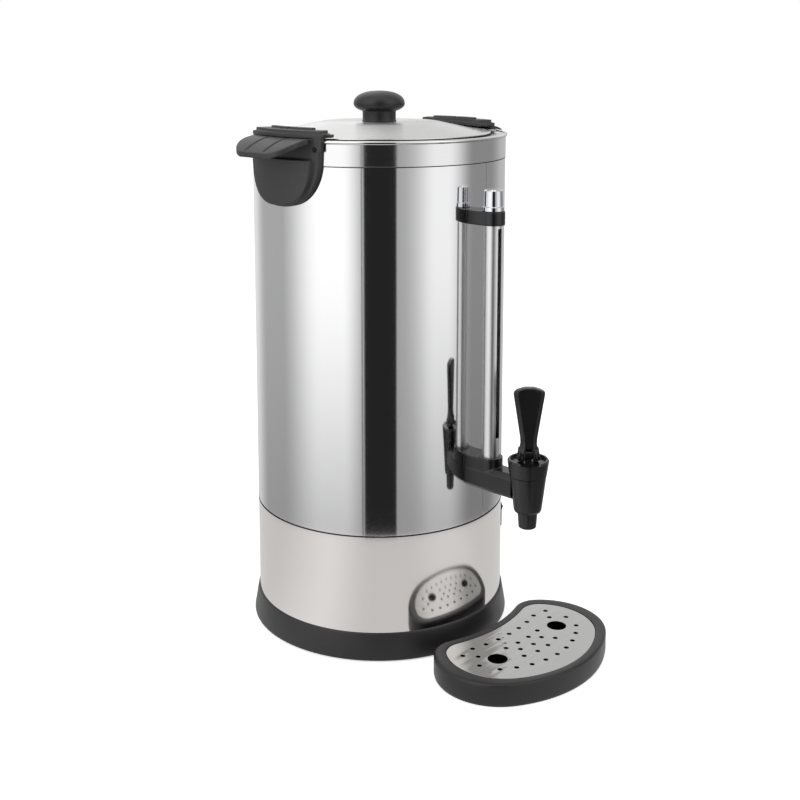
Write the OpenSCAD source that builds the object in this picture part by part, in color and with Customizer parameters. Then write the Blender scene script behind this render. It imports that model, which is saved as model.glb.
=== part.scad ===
// Coffee urn of the percolator kind: a double-walled steel urn on a black base ring, with a
// lift-off lid, two rim handles, a sight gauge, a lever tap and a loose drip tray.
// Millimetres, +Z up. The origin is on the table under the middle of the urn, and the tap faces -Y.

/* [Body] */
// Outside diameter of the polished jacket
body_d = 250; // [235:1:270]
// Thickness of the sheet steel
sheet_t = 0.8; // [0.6:0.1:1.2]
// Height of the seam between the lower band and the jacket
seam_z = 123; // [116:1:132]
// Height of the joint between the jacket and the top collar
collar_z = 470; // [450:1:490]
// Height from that joint to the middle of the rolled rim
collar_h = 22; // [18:1:26]
// Air gap between the jacket and the tank
jacket_gap = 5; // [4:0.5:7]
// Height of the floor inside the tank
tank_floor_z = 150; // [144:1:156]
// Radius of the bend between the tank's wall and floor
tank_bend_r = 12; // [6:1:20]
// Radius of the rolled rim
bead_r = 1.75; // [1.4:0.05:2.2]
// Width of the ledge inside the rim, which the lid sits on
ledge_w = 18; // [15:0.5:21]

/* [Base] */
// Outside diameter of the base ring at the table
base_d = 261; // [255:0.5:270]
// Height of the base ring
base_h = 27; // [24:0.5:32]
// Height that the feet lift the base ring off the table
foot_lift = 1; // [0.5:0.1:2]
// Radius of a rubber foot
foot_r = 9; // [7:0.5:11]
// Radius of the circle that the feet stand on
foot_circle_r = 110; // [104:0.5:112]
// Number of feet
foot_n = 4; // [3:1:6]
// Thickness of the bottom cover
cover_t = 1.5; // [1:0.1:2]
// Number of vent slots in the bottom cover
vent_n = 12; // [6:1:16]

/* [Lid] */
// Outside radius of the lid
lid_r = 110.5; // [108.5:0.5:111]
// Rise of the lid from its flange to its flat top
lid_rise = 13; // [8:0.5:18]
// Radius of the lid's flat top
lid_top_r = 59; // [45:1:70]
// Width of the lid's flat flange
lid_flange_w = 7; // [6:0.5:9]
// Depth of the ring that centres the lid in the ledge
lid_plug_h = 9; // [6:0.5:14]
// Reach of the lid's locking lugs past its edge
lug_reach = 6.5; // [4:0.5:8]
// Width of a locking lug
lug_w = 20; // [12:1:24]
// Turn that brings the lugs under the lid locks, in degrees
lock_turn = 40; // [36:1:50]
// Thickness of the lid seal
seal_t = 1.2; // [0.8:0.1:1.8]
// Widest diameter of the knob
knob_d = 51; // [44:1:56]
// Diameter of the knob's neck
knob_neck_d = 30; // [24:1:34]
// Height of the knob
knob_h = 28.5; // [25:0.5:32]

/* [Handles] */
// Half of the angle that a handle's plate spans round the urn
handle_half = 20.8; // [19:0.2:22]
// Lowest point of a handle's plate
handle_z = 433; // [425:1:440]
// Thickness of a handle's plate
handle_t = 7.5; // [6:0.5:9]
// Radius of the plate's lower corners
handle_corner_r = 30; // [18:1:34]
// Border round the plate's raised panel
panel_border = 10; // [8:0.5:13]
// Rise of the raised panel
panel_rise = 2.5; // [1.5:0.1:3.5]
// Width of the grip
grip_w = 56; // [46:1:62]
// Reach of the grip from the jacket
grip_reach = 38; // [32:1:44]
// Drop of the grip from its root to its edge
grip_drop = 11; // [8:0.5:14]
// Thickness of the grip at its edge
grip_t = 6; // [5:0.5:8]
// Number of ridges along the grip
grip_ridges = 3; // [2:1:5]
// Inner radius of the lid locks
lock_in_r = 112.5; // [112:0.1:114]
// Thickness of a lid lock's plate
lock_t = 6; // [4.5:0.5:7]

/* [Sight gauge] */
// Distance from the jacket to the middle of the gauge
gauge_reach = 22; // [20:0.5:26]
// Outside diameter of the guard tube
guard_d = 16.8; // [15:0.2:18]
// Wall of the guard tube
guard_wall = 1; // [0.8:0.1:1.3]
// Height of the lower end of the guard's slot
slot_z = 213; // [205:1:230]
// Width of the guard's slot
slot_w = 5; // [3:0.5:7]
// Outside diameter of the glass tube
glass_d = 10; // [8:0.5:11]
// Wall of the glass tube
glass_wall = 1.2; // [0.9:0.1:1.6]
// Height of the clamp's lower face
clamp_z = 415; // [380:1:425]
// Height of the clamp
clamp_h = 13; // [10:0.5:16]
// Height of the cap above the clamp
cap_h = 20; // [16:0.5:24]

/* [Tap] */
// Height of the tap's water way
tap_z = 174; // [170:0.5:180]
// Distance from the gauge to the middle of the valve
tap_reach = 45; // [42:0.5:50]
// Diameter of the water way
way_d = 10; // [8:0.5:11]
// Diameter of the threaded shank through the walls
shank_d = 18; // [16:0.5:20]
// Height of the socket that holds the guard tube
socket_z = 194; // [190:0.5:200]
// Height of the spout's end
spout_z = 136; // [128:0.5:140]
// Diameter of the spout's end
spout_d = 16.6; // [15:0.2:18]
// Height where the spout meets the valve's body
shoulder_z = 151; // [148:0.5:154]
// Diameter of the valve's body above the spout
valve_low_d = 26; // [24:0.5:28]
// Height of the joint between the valve's body and its bonnet
bonnet_z = 186; // [184:0.5:190]
// Height of the bonnet's rim
bonnet_top_z = 202; // [200:0.5:206]
// Diameter of the bonnet's rim
bonnet_d = 38.5; // [37:0.5:41]
// Diameter of the bonnet at its joint
bonnet_low_d = 34.5; // [33:0.5:36]
// Direction that the lever faces, from the front towards -X, in degrees
lever_turn = 44; // [0:1:60]
// Height of the lever's top
lever_top_z = 270; // [250:1:285]
// Width of the lever at its top
lever_top_w = 29; // [24:0.5:34]
// Width of the lever at its waist
lever_waist_w = 15; // [13:0.5:18]
// Width of the lever at its foot
lever_foot_w = 21; // [19:0.5:23]
// Height of the lever's pin
pin_z = 206.5; // [206:0.5:209]
// Diameter of the lever's pin
pin_d = 4; // [3:0.1:4.5]
// Diameter of the valve's stem
stem_d = 6; // [5:0.2:6.6]

/* [Drip tray] */
// Height of the drip tray
tray_h = 22; // [18:0.5:26]
// Radius of the tray's front edge
tray_r = 105; // [98:0.5:112]
// Distance from the urn's middle to the middle of that edge's arc
tray_y = 162; // [156:0.5:168]
// Gap between the base ring and the tray
tray_gap = 16; // [8:0.5:24]
// Radius of the tray's rounded ends
tray_end_r = 25; // [20:0.5:28]
// Width of the tray's rim round its plate
tray_rim = 12; // [9:0.5:14]
// Width of the ledge under the plate's edge
tray_ledge = 4.5; // [3:0.5:6]
// Thickness of the tray's floor
tray_floor = 3; // [2:0.2:4]
// Thickness of the drip plate
plate_t = 1.2; // [0.8:0.1:1.6]
// Diameter of the plate's drain holes
drain_d = 5; // [3.5:0.1:6]
// Diameter of the plate's finger holes
finger_d = 21; // [18:0.5:22]

/* [Brewing set] */
// Radius of the coffee basket
basket_r = 62; // [50:1:75]
// Height of the coffee basket
basket_h = 72; // [50:1:85]
// Height of the coffee basket's floor
basket_z = 352; // [330:1:365]
// Outside diameter of the pump tube
pump_d = 12; // [10:0.5:14]
// Height of the pump tube's top
pump_top_z = 462; // [455:1:470]

/* [Electrics] */
// Angle of the switch from the tap towards +X, in degrees
switch_angle = 52; // [48:1:60]
// Height of the middle of the switch
switch_z = 92; // [84:1:96]
// Height of the middle of the pilot lamp
lamp_z = 64; // [58:1:66]
// Height of the middle of the mains inlet
inlet_z = 66; // [56:1:80]
// Radius of the heating element's ring
heater_r = 72; // [60:1:85]

/* [Fits] */
// Gap between pieces that are only assembled
seat_gap = 0.15; // [0.1:0.05:0.3]
// Gap between pieces that slide past each other
slide_gap = 0.4; // [0.3:0.05:0.6]
// Radial gap of a turning or sliding fit
run_gap = 0.06; // [0.04:0.01:0.1]

/* [Hidden] */
$fn = 96;
fine_n = 240;

// Sizes that follow from the body
body_r = body_d / 2;
jacket_in_r = body_r - sheet_t;
tank_r = jacket_in_r - jacket_gap;
tank_in_r = tank_r - sheet_t;
rim_z = collar_z + collar_h;
collar_r = body_r + 0.3;
ledge_z = rim_z + sheet_t / 2;
ledge_in_r = collar_r - sheet_t - ledge_w;
ledge_lip = 3;

// Sizes that follow from the base
ring_wall = 3;
band_seat_z = 10;
flange_z = 5;
flange_t = 3;
flange_in_r = foot_circle_r - foot_r - 2;
base_in_r = body_r - 4;
cover_r = base_in_r - 2;
foot_screw_r = 2;

// Sizes that follow from the lid
lid_z = ledge_z + seal_t;
lid_cone_r = lid_r - lid_flange_w;
lid_top_z = lid_z + lid_rise;
plug_r = ledge_in_r - 1;
knob_z = lid_top_z + sheet_t;
knob_bolt_r = 2.5;

// Sizes that follow from the handles
plate_in_r = body_r + 0.6;
plate_r = plate_in_r + handle_t;
plate_half_w = plate_in_r * sin(handle_half);
plate_top_z = rim_z - 2;
panel_r = plate_r + panel_rise;
lock_z = lid_z + sheet_t + 1;
lock_wall_r = collar_r + bead_r + 0.6;
lock_r = lock_wall_r + 3.4;
lock_ear = 9;
pin_len = 6;
lock_pin_r = 1.4;
handle_screw_r = 2;

// Places of the gauge and the tap
gauge_y = -(body_r + gauge_reach);
tap_y = gauge_y - tap_reach;
guard_r = guard_d / 2;
glass_r = glass_d / 2;
socket_r = guard_r + 3.2;
way_r = way_d / 2;
shank_r = shank_d / 2;
arm_r = 10.5;
valve_face = 17.5;
gasket_t = 1.2;
nut_face = 3.5;
foot_z = tap_z - arm_r;
guard_seat_z = socket_z - 12;
glass_seat_z = guard_seat_z - 4;
clamp_top_z = clamp_z + clamp_h;
neck_h = 9;
neck_r = guard_r - 0.6;
seal_h = 3;
gauge_screw_z = clamp_z + clamp_h / 2;
gauge_screw_r = 1.5;

// Sizes of the valve
seat_z = shoulder_z + 6;
chamber_r = 10.5;
valve_neck_r = 14;
valve_neck_h = 6;
bonnet_floor_z = bonnet_top_z - 2.5;
bonnet_recess_r = bonnet_d / 2 - 2.6;
stem_r = stem_d / 2;
cup_h = 6;
stem_low_z = seat_z + cup_h;
eye_t = 7;
lever_base_r = pin_z - bonnet_floor_z - slide_gap;
lever_waist_z = pin_z + 11;
lever_foot_t = 14;
lever_waist_t = 11;
lever_top_t = 9.5;
spring_wire_r = 0.6;
spring_turns = 6;

// Sizes of the drip tray
tray_bite_r = base_d / 2 + tray_gap;
tray_well = tray_rim + tray_ledge;
plate_z = tray_h - plate_t - 0.3;

// Places inside the base
tank_under_z = tank_floor_z - sheet_t;
switch_w = 13;
switch_h = 21;
bezel = 2;
inlet_w = 27;
inlet_h = 20;
inlet_depth = 22;
pin_size = [4, 2];
lamp_r = 4.2;
switch_depth = 18;
inlet_tab = 8;
inlet_pin_places = [[-7, -2], [7, -2], [0, 3]];
block_size = [34, 16, 14];
block_y = 70;
block_row = 4;
block_pitch = 11;
block_floor = 6;
element_t = 7;
element_stub = 14;
element_gap_a = 20;
stat_x = 32;
stat_y = -18;
stat_tab_x = 4;
stat_h = 19;

// Ends of the leads at the inlet, the terminal block, the heating element, the thermostats and the switch
lead_r = 1.4;
lead_gap = 0.3;
inlet_end_y = body_r - inlet_depth - inlet_tab - lead_gap;
switch_back_r = body_r + 1 - switch_depth;
switch_dir = [sin(switch_angle), -cos(switch_angle), 0];
function inlet_end(k) = [-inlet_pin_places[k][0], inlet_end_y, inlet_z + inlet_pin_places[k][1]];
function block_end(i, side) =
    [i * block_pitch, block_y + side * block_row, flange_z + block_floor + lead_gap];
function element_end(side) =
    [side * heater_r * sin(element_gap_a + 2), heater_r * cos(element_gap_a + 2),
     tank_under_z - element_t - element_stub - lead_gap];
function stat_end(x) = [x, stat_y, tank_under_z - stat_h - lead_gap];
function switch_end(z) = (switch_back_r - lead_gap) * switch_dir + [0, 0, z];

// A smooth route from p, leaving along d, to q, which it reaches against e
function route(p, d, q, e, pull) =
    let (a = p + 9 * d, b = q + 5 * e)
    concat([p], [for (i = [0 : 7]) let (t = i / 7, u = 1 - t)
        u * u * (u * a + 3 * t * (a + pull * d)) + t * t * (3 * u * (b + pull * e) + t * b)], [q]);

up = [0, 0, 1];
leads = [
    route(inlet_end(0), [0, -1, 0], block_end(1, 1), up, 14),
    route(inlet_end(1), [0, -1, 0], block_end(-1, 1), up, 14),
    route(inlet_end(2), [0, -1, 0], block_end(0, 1), up, 14),
    route(block_end(-1, -1), up, element_end(-1), -up, 40),
    route(block_end(1, -1), up, switch_end(switch_z - 4), -switch_dir, 40),
    route(switch_end(switch_z + 4), -switch_dir, stat_end(stat_x + stat_tab_x), -up, 20),
    route(stat_end(stat_x - stat_tab_x), -up, stat_end(stat_tab_x - stat_x), -up, 16),
    route(stat_end(-stat_x - stat_tab_x), -up, element_end(1), -up, 24)
];

// A ring of rectangular section round the Z axis
module ring(r_out, r_in, z, h) {
    translate([0, 0, z]) difference() {
        cylinder(r = r_out, h = h);
        translate([0, 0, -1]) cylinder(r = r_in, h = h + 2);
    }
}

// Part of such a ring, centred on +X
module sector(r_out, r_in, z, h, half) {
    rotate([0, 0, -half]) rotate_extrude(angle = 2 * half)
        translate([r_in, z]) square([r_out - r_in, h]);
}

// A rod along -Y from y1 to y2 at height z
module rod_y(r, y1, y2, z) {
    translate([0, y1, z]) rotate([90, 0, 0]) cylinder(r = r, h = y1 - y2);
}

// Turns what is drawn on the -Y side to an angle from there towards +X
module at_angle(a) {
    rotate([0, 0, a]) children();
}

// Faces of the skin between rings of n points each, from ring k to ring m
function skin(n, k, m) = [for (i = [0 : n - 1]) let (j = (i + 1) % n)
    each [[k * n + i, m * n + i, k * n + j], [k * n + j, m * n + i, m * n + j]]];

// A closed skin through rings of points, with flat ends that are laced from side to side
module loft(rings) {
    n = len(rings[0]);
    last = len(rings) - 1;
    sides = [for (k = [0 : last - 1]) each skin(n, k, k + 1)];
    low = [for (i = [0 : n / 2 - 2]) [n - 1 - i, i, i + 1, n - 2 - i]];
    high = [for (i = [0 : n / 2 - 2]) last * n * [1, 1, 1, 1] + [i, n - 1 - i, n - 2 - i, i + 1]];
    polyhedron([for (r = rings) each r], concat(low, sides, high));
}

// A closed skin through rings of points, where the last ring joins the first
module loft_loop(rings) {
    n = len(rings[0]);
    count = len(rings);
    polyhedron([for (r = rings) each r], [for (k = [0 : count - 1]) each skin(n, k, (k + 1) % count)]);
}

// Points on an arc, from angle a1 to a2
function arc(c, r, a1, a2, n) =
    [for (i = [0 : n]) let (a = a1 + (a2 - a1) * i / n) [c[0] + r * cos(a), c[1] + r * sin(a)]];

// BASE

module base_ring() {
    r1 = base_d / 2;
    r2 = body_r + 1.4;
    skirt_h = base_h - foot_lift - 4;
    skirt = [for (i = [0 : 10]) let (a = 9 * i)
        [r2 + (r1 - r2) * cos(a), foot_lift + 4 + skirt_h * sin(a)]];
    color("#222223") difference() {
        rotate_extrude() polygon(concat(
            [[r1 - ring_wall, foot_lift], [r1 - 1.2, foot_lift], [r1 - 0.3, foot_lift + 1.5]],
            skirt,
            [[body_r + seat_gap, base_h], [body_r + seat_gap, band_seat_z], [base_in_r, band_seat_z],
             [base_in_r, flange_z + flange_t], [flange_in_r, flange_z + flange_t],
             [flange_in_r, flange_z], [base_in_r, flange_z],
             [base_in_r, foot_lift], [body_r - 1, foot_lift], [body_r - 1, band_seat_z - ring_wall],
             [r1 - ring_wall - 0.5, band_seat_z - ring_wall]]));
        each_foot() translate([0, 0, flange_z - 1])
            cylinder(r = foot_screw_r + seat_gap, h = flange_t + 2);
    }
}

// Places something at every foot
module each_foot() {
    for (i = [0 : foot_n - 1]) rotate([0, 0, 45 + i * 360 / foot_n])
        translate([foot_circle_r, 0, 0]) children();
}

module bottom_cover() {
    color("#6f7073") difference() {
        translate([0, 0, flange_z - cover_t]) cylinder(r = cover_r, h = cover_t);
        each_foot() translate([0, 0, flange_z - cover_t - 1])
            cylinder(r = foot_screw_r + seat_gap, h = cover_t + 2);
        for (i = [0 : vent_n - 1]) rotate([0, 0, i * 360 / vent_n])
            translate([cover_r / 2, -2, flange_z - cover_t - 1]) cube([26, 4, cover_t + 2]);
    }
}

module rubber_feet() {
    foot_h = flange_z - cover_t;
    color("#1c1c1d") each_foot() difference() {
        union() {
            cylinder(r1 = foot_r - 0.8, r2 = foot_r, h = 1);
            translate([0, 0, 1]) cylinder(r = foot_r, h = foot_h - 1);
        }
        translate([0, 0, -1]) cylinder(r = foot_screw_r + seat_gap, h = foot_h + 2);
        translate([0, 0, -1]) cylinder(r = foot_screw_r * 2 + seat_gap, h = 2.6);
    }
}

module base_screws() {
    color("#b9bbbe") each_foot() {
        translate([0, 0, 0.4]) cylinder(r = foot_screw_r * 2, h = 1.2);
        translate([0, 0, 1.6]) cylinder(r = foot_screw_r, h = flange_z + flange_t + 1 - 1.6);
    }
}

// BODY

module lower_band() {
    shelf_z = seam_z - sheet_t;
    color("#cfcdca") difference() {
        union() {
            ring(body_r, jacket_in_r, band_seat_z, seam_z - band_seat_z);
            ring(jacket_in_r + 0.01, tank_r + 1, shelf_z, sheet_t);
        }
        at_angle(switch_angle) {
            translate([-switch_w / 2 - seat_gap, -body_r - 5, switch_z - switch_h / 2 - seat_gap])
                cube([switch_w + 2 * seat_gap, 20, switch_h + 2 * seat_gap]);
            rod_y(lamp_r - 0.8 + seat_gap, -body_r + 10, -body_r - 5, lamp_z);
        }
        at_angle(180) translate([-inlet_w / 2 - seat_gap, -body_r - 5, inlet_z - inlet_h / 2 - seat_gap])
            cube([inlet_w + 2 * seat_gap, 20, inlet_h + 2 * seat_gap]);
    }
}

module outer_jacket() {
    lap_a = 8;
    lap_depth = 0.45;
    color("#d9d9d8") difference() {
        union() {
            ring(body_r, jacket_in_r, seam_z + 1, collar_z - seam_z - 1);
            ring(body_r - 0.5, jacket_in_r, seam_z, 1.01);
        }
        rod_y(shank_r + seat_gap, -tank_r, -body_r - 1, tap_z);
        for (side = [0, 180]) rotate([0, 0, side]) each_handle_screw()
            cylinder(r = handle_screw_r + seat_gap, h = 30, center = true);
        rod_y(gauge_screw_r + seat_gap, -tank_r, -body_r - 1, gauge_screw_z);
        at_angle(lap_a) translate([-0.4, -body_r - 1, seam_z - 1])
            cube([0.8, 1 + lap_depth, collar_z - seam_z + 2]);
    }
}

module top_collar() {
    r_in = collar_r - sheet_t;
    lip_r = 1.2;
    color("#c6c5c3") rotate_extrude() {
        translate([r_in, collar_z + sheet_t]) square([sheet_t, collar_h - sheet_t]);
        translate([collar_r - 0.1, rim_z]) circle(r = bead_r);
        translate([ledge_in_r, ledge_z - sheet_t]) square([collar_r - ledge_in_r - 1, sheet_t]);
        translate([ledge_in_r, ledge_z - ledge_lip]) square([sheet_t, ledge_lip - sheet_t / 2]);
        translate([ledge_in_r + lip_r - 0.4, ledge_z - ledge_lip]) circle(r = lip_r);
    }
}

module inner_tank() {
    bend = tank_bend_r;
    outer = concat([[0, tank_under_z]], arc([tank_r - bend, tank_under_z + bend], bend, -90, 0, 8),
                   [[tank_r, collar_z]]);
    inner = concat([[tank_in_r, collar_z]],
                   arc([tank_r - bend, tank_under_z + bend], bend - sheet_t, 0, -90, 8),
                   [[0, tank_floor_z]]);
    color("#c9c8c5") difference() {
        union() {
            rotate_extrude() polygon(concat(outer, inner));
            ring(collar_r - 0.2, tank_in_r, collar_z, sheet_t);
        }
        rod_y(shank_r + seat_gap, -tank_r + 8, -body_r, tap_z);
    }
}

// LID

module lid() {
    lug_half = asin(lug_w / 2 / lid_r);
    color("#d2d2d0") difference() {
        union() {
            rotate_extrude() polygon([
                [0, lid_top_z + sheet_t], [lid_top_r, lid_top_z + sheet_t],
                [lid_cone_r, lid_z + sheet_t], [lid_r - 0.4, lid_z + sheet_t], [lid_r, lid_z + sheet_t / 2],
                [lid_r, lid_z], [lid_cone_r - 1.5, lid_z], [lid_top_r - 0.3, lid_top_z], [0, lid_top_z]]);
            ring(plug_r, plug_r - sheet_t, lid_z - lid_plug_h, lid_plug_h + 0.3);
            for (side = [0, 180]) rotate([0, 0, side - lock_turn])
                sector(lid_r + lug_reach, lid_r - 2, lid_z, sheet_t, lug_half);
        }
        translate([0, 0, lid_top_z - 1]) cylinder(r = knob_bolt_r + seat_gap, h = 4);
    }
}

module lid_seal() {
    color("#2b2b2b") ring(lid_r + 0.6, ledge_in_r + 0.5, ledge_z, seal_t);
}

module lid_knob() {
    neck_r = knob_neck_d / 2;
    cap_r = knob_d / 2;
    neck_h = knob_h * 0.34;
    cap_mid = neck_h + (knob_h - neck_h) * 0.5;
    under = [for (i = [0 : 6]) let (a = -90 + 15 * i)
        [neck_r - 2 + (cap_r - neck_r + 2) * cos(a), cap_mid + (cap_mid - neck_h) * sin(a)]];
    over = [for (i = [1 : 8]) let (a = 90 * i / 8)
        [cap_r * pow(cos(a), 0.62), cap_mid + (knob_h - cap_mid) * pow(sin(a), 0.8)]];
    color("#1f1f20") translate([0, 0, knob_z]) difference() {
        rotate_extrude() polygon(concat([[0, 0], [neck_r, 0], [neck_r, 1.5], [neck_r - 1.6, neck_h * 0.5]],
                                        under, over));
        translate([0, 0, -1]) cylinder(r = knob_bolt_r + seat_gap, h = knob_h * 0.6 + 1);
    }
}

module knob_screw() {
    head_h = 3;
    color("#b9bbbe") translate([0, 0, lid_top_z - head_h]) {
        cylinder(r = knob_bolt_r * 2, h = head_h);
        cylinder(r = knob_bolt_r, h = head_h + sheet_t + knob_h * 0.5);
    }
}

// HANDLES, drawn on the +X side

// Outline of the handle's plate, across and up
module plate_outline(inset, top) {
    w = plate_half_w - inset;
    r = handle_corner_r - inset;
    z = handle_z + inset;
    polygon(concat([[w, top], [-w, top]], arc([-w + r, z + r], r, 180, 270, 10),
                   arc([w - r, z + r], r, 270, 360, 10)));
}

// Stands an outline up on the +X side
module stand_up(h) {
    rotate([90, 0, 90]) linear_extrude(h) children();
}

module each_handle_screw() {
    for (z = [collar_z - 8, collar_z - 24]) translate([body_r, 0, z]) rotate([0, 90, 0]) children();
}

module each_lock_pin() {
    for (side = [-1, 1]) rotate([0, 0, side * (handle_half - 2.6)])
        translate([lock_r, 0, plate_top_z - lock_ear / 2]) rotate([0, 90, 0]) children();
}

// Outline of the grip in plan: square at the root, with rounded outer corners
module grip_plan(inset) {
    corner = 11 - inset;
    w = grip_w / 2 - inset;
    x = body_r + grip_reach - inset;
    polygon(concat([[body_r, -w]], arc([x - corner, -w + corner], corner, -90, 0, 6),
                   arc([x - corner, w - corner], corner, 0, 90, 6), [[body_r, w]]));
}

// Side view of the grip: out from the urn, and up
module grip_side() {
    root = lock_r + seat_gap;
    edge = body_r + grip_reach;
    top = rim_z + 1;
    low = top - grip_drop;
    rotate([90, 0, 0]) linear_extrude(grip_w + 2, center = true) polygon(concat(
        [[root, plate_top_z - 12], [root, top]],
        [for (i = [1 : 7]) let (t = i / 8) [root + (edge - 2 - root) * t, top - grip_drop * t * t]],
        [[edge - 2, low], [edge, low - 2], [edge, low - grip_t + 1], [edge - 2, low - grip_t]],
        [[edge - 12, low - grip_t + 2.5], [root + 10, plate_top_z - 10]]));
}

module handle() {
    pocket_half = handle_half + 1;
    color("#3a3a3c") difference() {
        union() {
            intersection() {
                ring(plate_r, plate_in_r, handle_z - 1, plate_top_z - handle_z + 1);
                translate([body_r / 2, 0, 0]) stand_up(body_r) plate_outline(0, plate_top_z + 1);
            }
            intersection() {
                ring(panel_r, plate_in_r + 1, handle_z, collar_z + 5 - handle_z);
                translate([body_r / 2, 0, 0]) stand_up(body_r)
                    plate_outline(panel_border, collar_z + 6);
            }
            intersection() {
                grip_side();
                linear_extrude(rim_z + 20) grip_plan(0);
            }
            grip_ridge_set();
        }
        for (side = [-1, 1]) rotate([0, 0, side * (handle_half - 1.8)])
            sector(plate_r + 5, lock_wall_r - seat_gap, plate_top_z - lock_ear - seat_gap,
                   lock_ear + 20, 3.6);
        each_handle_screw() cylinder(r = handle_screw_r + seat_gap, h = 2 * handle_t - 1, center = true);
        each_lock_pin() translate([0, 0, -pin_len]) cylinder(r = lock_pin_r + seat_gap, h = pin_len);
    }
}

// Ridges that run out along the top of the grip
module grip_ridge_set() {
    pitch = grip_w / (grip_ridges + 0.6);
    slope = atan(grip_drop / (grip_reach - 6));
    root = lock_r + 2;
    intersection() {
        for (i = [0 : grip_ridges - 1])
            translate([root, (i - (grip_ridges - 1) / 2) * pitch, rim_z + 1]) rotate([0, slope, 0])
                translate([0, -pitch * 0.3, -2.5]) cube([grip_reach, pitch * 0.6, 4]);
        linear_extrude(rim_z + 20) grip_plan(2.5);
        translate([0, 0, rim_z - grip_drop - 3]) cylinder(r = body_r + grip_reach - 3, h = 40);
    }
}

module handle_left() { rotate([0, 0, 180]) handle(); }

module handle_right() { handle(); }

module lid_lock() {
    ridge_w = 2.2;
    color("#333335") difference() {
        union() {
            sector(lock_r - 1.2, lock_in_r, lock_z, lock_t, handle_half);
            sector(lock_r, lock_wall_r, plate_top_z, lock_z + lock_t - 1.2 - plate_top_z, handle_half);
            for (side = [-1, 1]) rotate([0, 0, side * (handle_half - 2.6)])
                sector(lock_r, lock_wall_r, plate_top_z - lock_ear, lock_ear + 1, 2.6);
            for (r = [lock_in_r + 4, lock_r - 8])
                sector(r + ridge_w, r, lock_z + lock_t - 1, 3, handle_half - 2);
        }
        each_lock_pin() cylinder(r = lock_pin_r + seat_gap, h = 30, center = true);
    }
}

module lid_lock_left() { rotate([0, 0, 180]) lid_lock(); }

module lid_lock_right() { lid_lock(); }

module lock_pins() {
    color("#8d8e90") for (side = [0, 180]) rotate([0, 0, side]) each_lock_pin() {
        translate([0, 0, -pin_len + 0.3]) cylinder(r = lock_pin_r, h = pin_len);
        translate([0, 0, 0.1]) cylinder(r1 = lock_pin_r + 0.9, r2 = lock_pin_r + 0.4, h = 0.9);
    }
}

module handle_screws() {
    head_h = 2;
    color("#b9bbbe") for (side = [0, 180]) rotate([0, 0, side]) each_handle_screw() {
        translate([0, 0, -sheet_t - head_h - 0.2]) cylinder(r = handle_screw_r * 1.9, h = head_h);
        translate([0, 0, -sheet_t - 0.3]) cylinder(r = handle_screw_r, h = sheet_t + handle_t - 1.5);
    }
}

// SIGHT GAUGE AND TAP

module tap_manifold() {
    block_w = 24;
    block_top = socket_z - 2;
    color("#1d1d1e") difference() {
        union() {
            difference() {
                translate([-block_w / 2, gauge_y, foot_z])
                    cube([block_w, gauge_reach + 3, block_top - foot_z]);
                cylinder(r = body_r + gasket_t, h = socket_z * 2);
            }
            translate([0, gauge_y, foot_z])
                cylinder(r1 = socket_r - 1.5, r2 = socket_r, h = socket_z - foot_z);
            rod_y(arm_r, gauge_y, tap_y + valve_face, tap_z);
            rod_y(shank_r, -(tank_in_r - 12), -body_r - 4, tap_z);
        }
        rod_y(way_r, -(tank_in_r - 13), tap_y, tap_z);
        translate([0, gauge_y, tap_z]) cylinder(r = glass_r - glass_wall, h = 40);
        translate([0, gauge_y, glass_seat_z]) cylinder(r = glass_r + seat_gap, h = 40);
        translate([0, gauge_y, guard_seat_z]) cylinder(r = guard_r + seat_gap, h = 40);
    }
}

module tap_gaskets() {
    outer_r = shank_r + 2.4;
    inner_r = shank_r + 4;
    color("#c9c5bd") {
        difference() {
            rod_y(outer_r, -body_r + 10, -body_r - 6, tap_z);
            rod_y(shank_r + seat_gap, -body_r + 11, -body_r - 7, tap_z);
            cylinder(r = body_r + 0.1, h = tap_z * 2, $fn = fine_n);
            ring(body_r + 20, body_r + gasket_t - 0.1, 0, tap_z * 2, $fn = fine_n);
        }
        difference() {
            rod_y(inner_r, -tank_in_r + nut_face, -tank_in_r - 2, tap_z);
            rod_y(shank_r + seat_gap, -tank_in_r + nut_face + 1, -tank_in_r - 3, tap_z);
            ring(body_r + 20, tank_in_r - 0.1, 0, tap_z * 2, $fn = fine_n);
        }
    }
}

module wall_spacer() {
    color("#2f2f31") difference() {
        rod_y(13, -tank_r + 6, -body_r, tap_z);
        rod_y(shank_r + seat_gap, -tank_r + 7, -body_r - 1, tap_z);
        cylinder(r = tank_r + 0.1, h = tap_z * 2, $fn = fine_n);
        ring(body_r + 20, jacket_in_r - 0.1, 0, tap_z * 2, $fn = fine_n);
    }
}

module tap_nut() {
    face_y = -tank_in_r + nut_face;
    nut_t = 6;
    color("#b5b6b8") difference() {
        translate([0, face_y + nut_t, tap_z]) rotate([90, 0, 0])
            cylinder(r = shank_r + 6, h = nut_t, $fn = 6);
        rod_y(shank_r + seat_gap, face_y + nut_t + 1, face_y - 1, tap_z);
    }
}

module gauge_guard() {
    low = guard_seat_z;
    color("#c9c9ca") difference() {
        translate([0, gauge_y, 0]) ring(guard_r, guard_r - guard_wall, low, clamp_top_z - 2 - low);
        translate([-slot_w / 2, gauge_y - guard_r - 1, slot_z])
            cube([slot_w, guard_r, clamp_z - 3 - slot_z]);
    }
}

module gauge_glass() {
    color("#dfe8ea") translate([0, gauge_y, 0])
        ring(glass_r, glass_r - glass_wall, glass_seat_z, clamp_top_z + neck_h - 2 - glass_seat_z);
}

module gauge_seals() {
    color("#2b2b2b") translate([0, gauge_y, 0]) {
        ring(guard_r - guard_wall - seat_gap, glass_r + seat_gap, guard_seat_z, seal_h);
        ring(guard_r - guard_wall - seat_gap, glass_r + seat_gap, clamp_top_z - 2 - seal_h, seal_h);
    }
}

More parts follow.
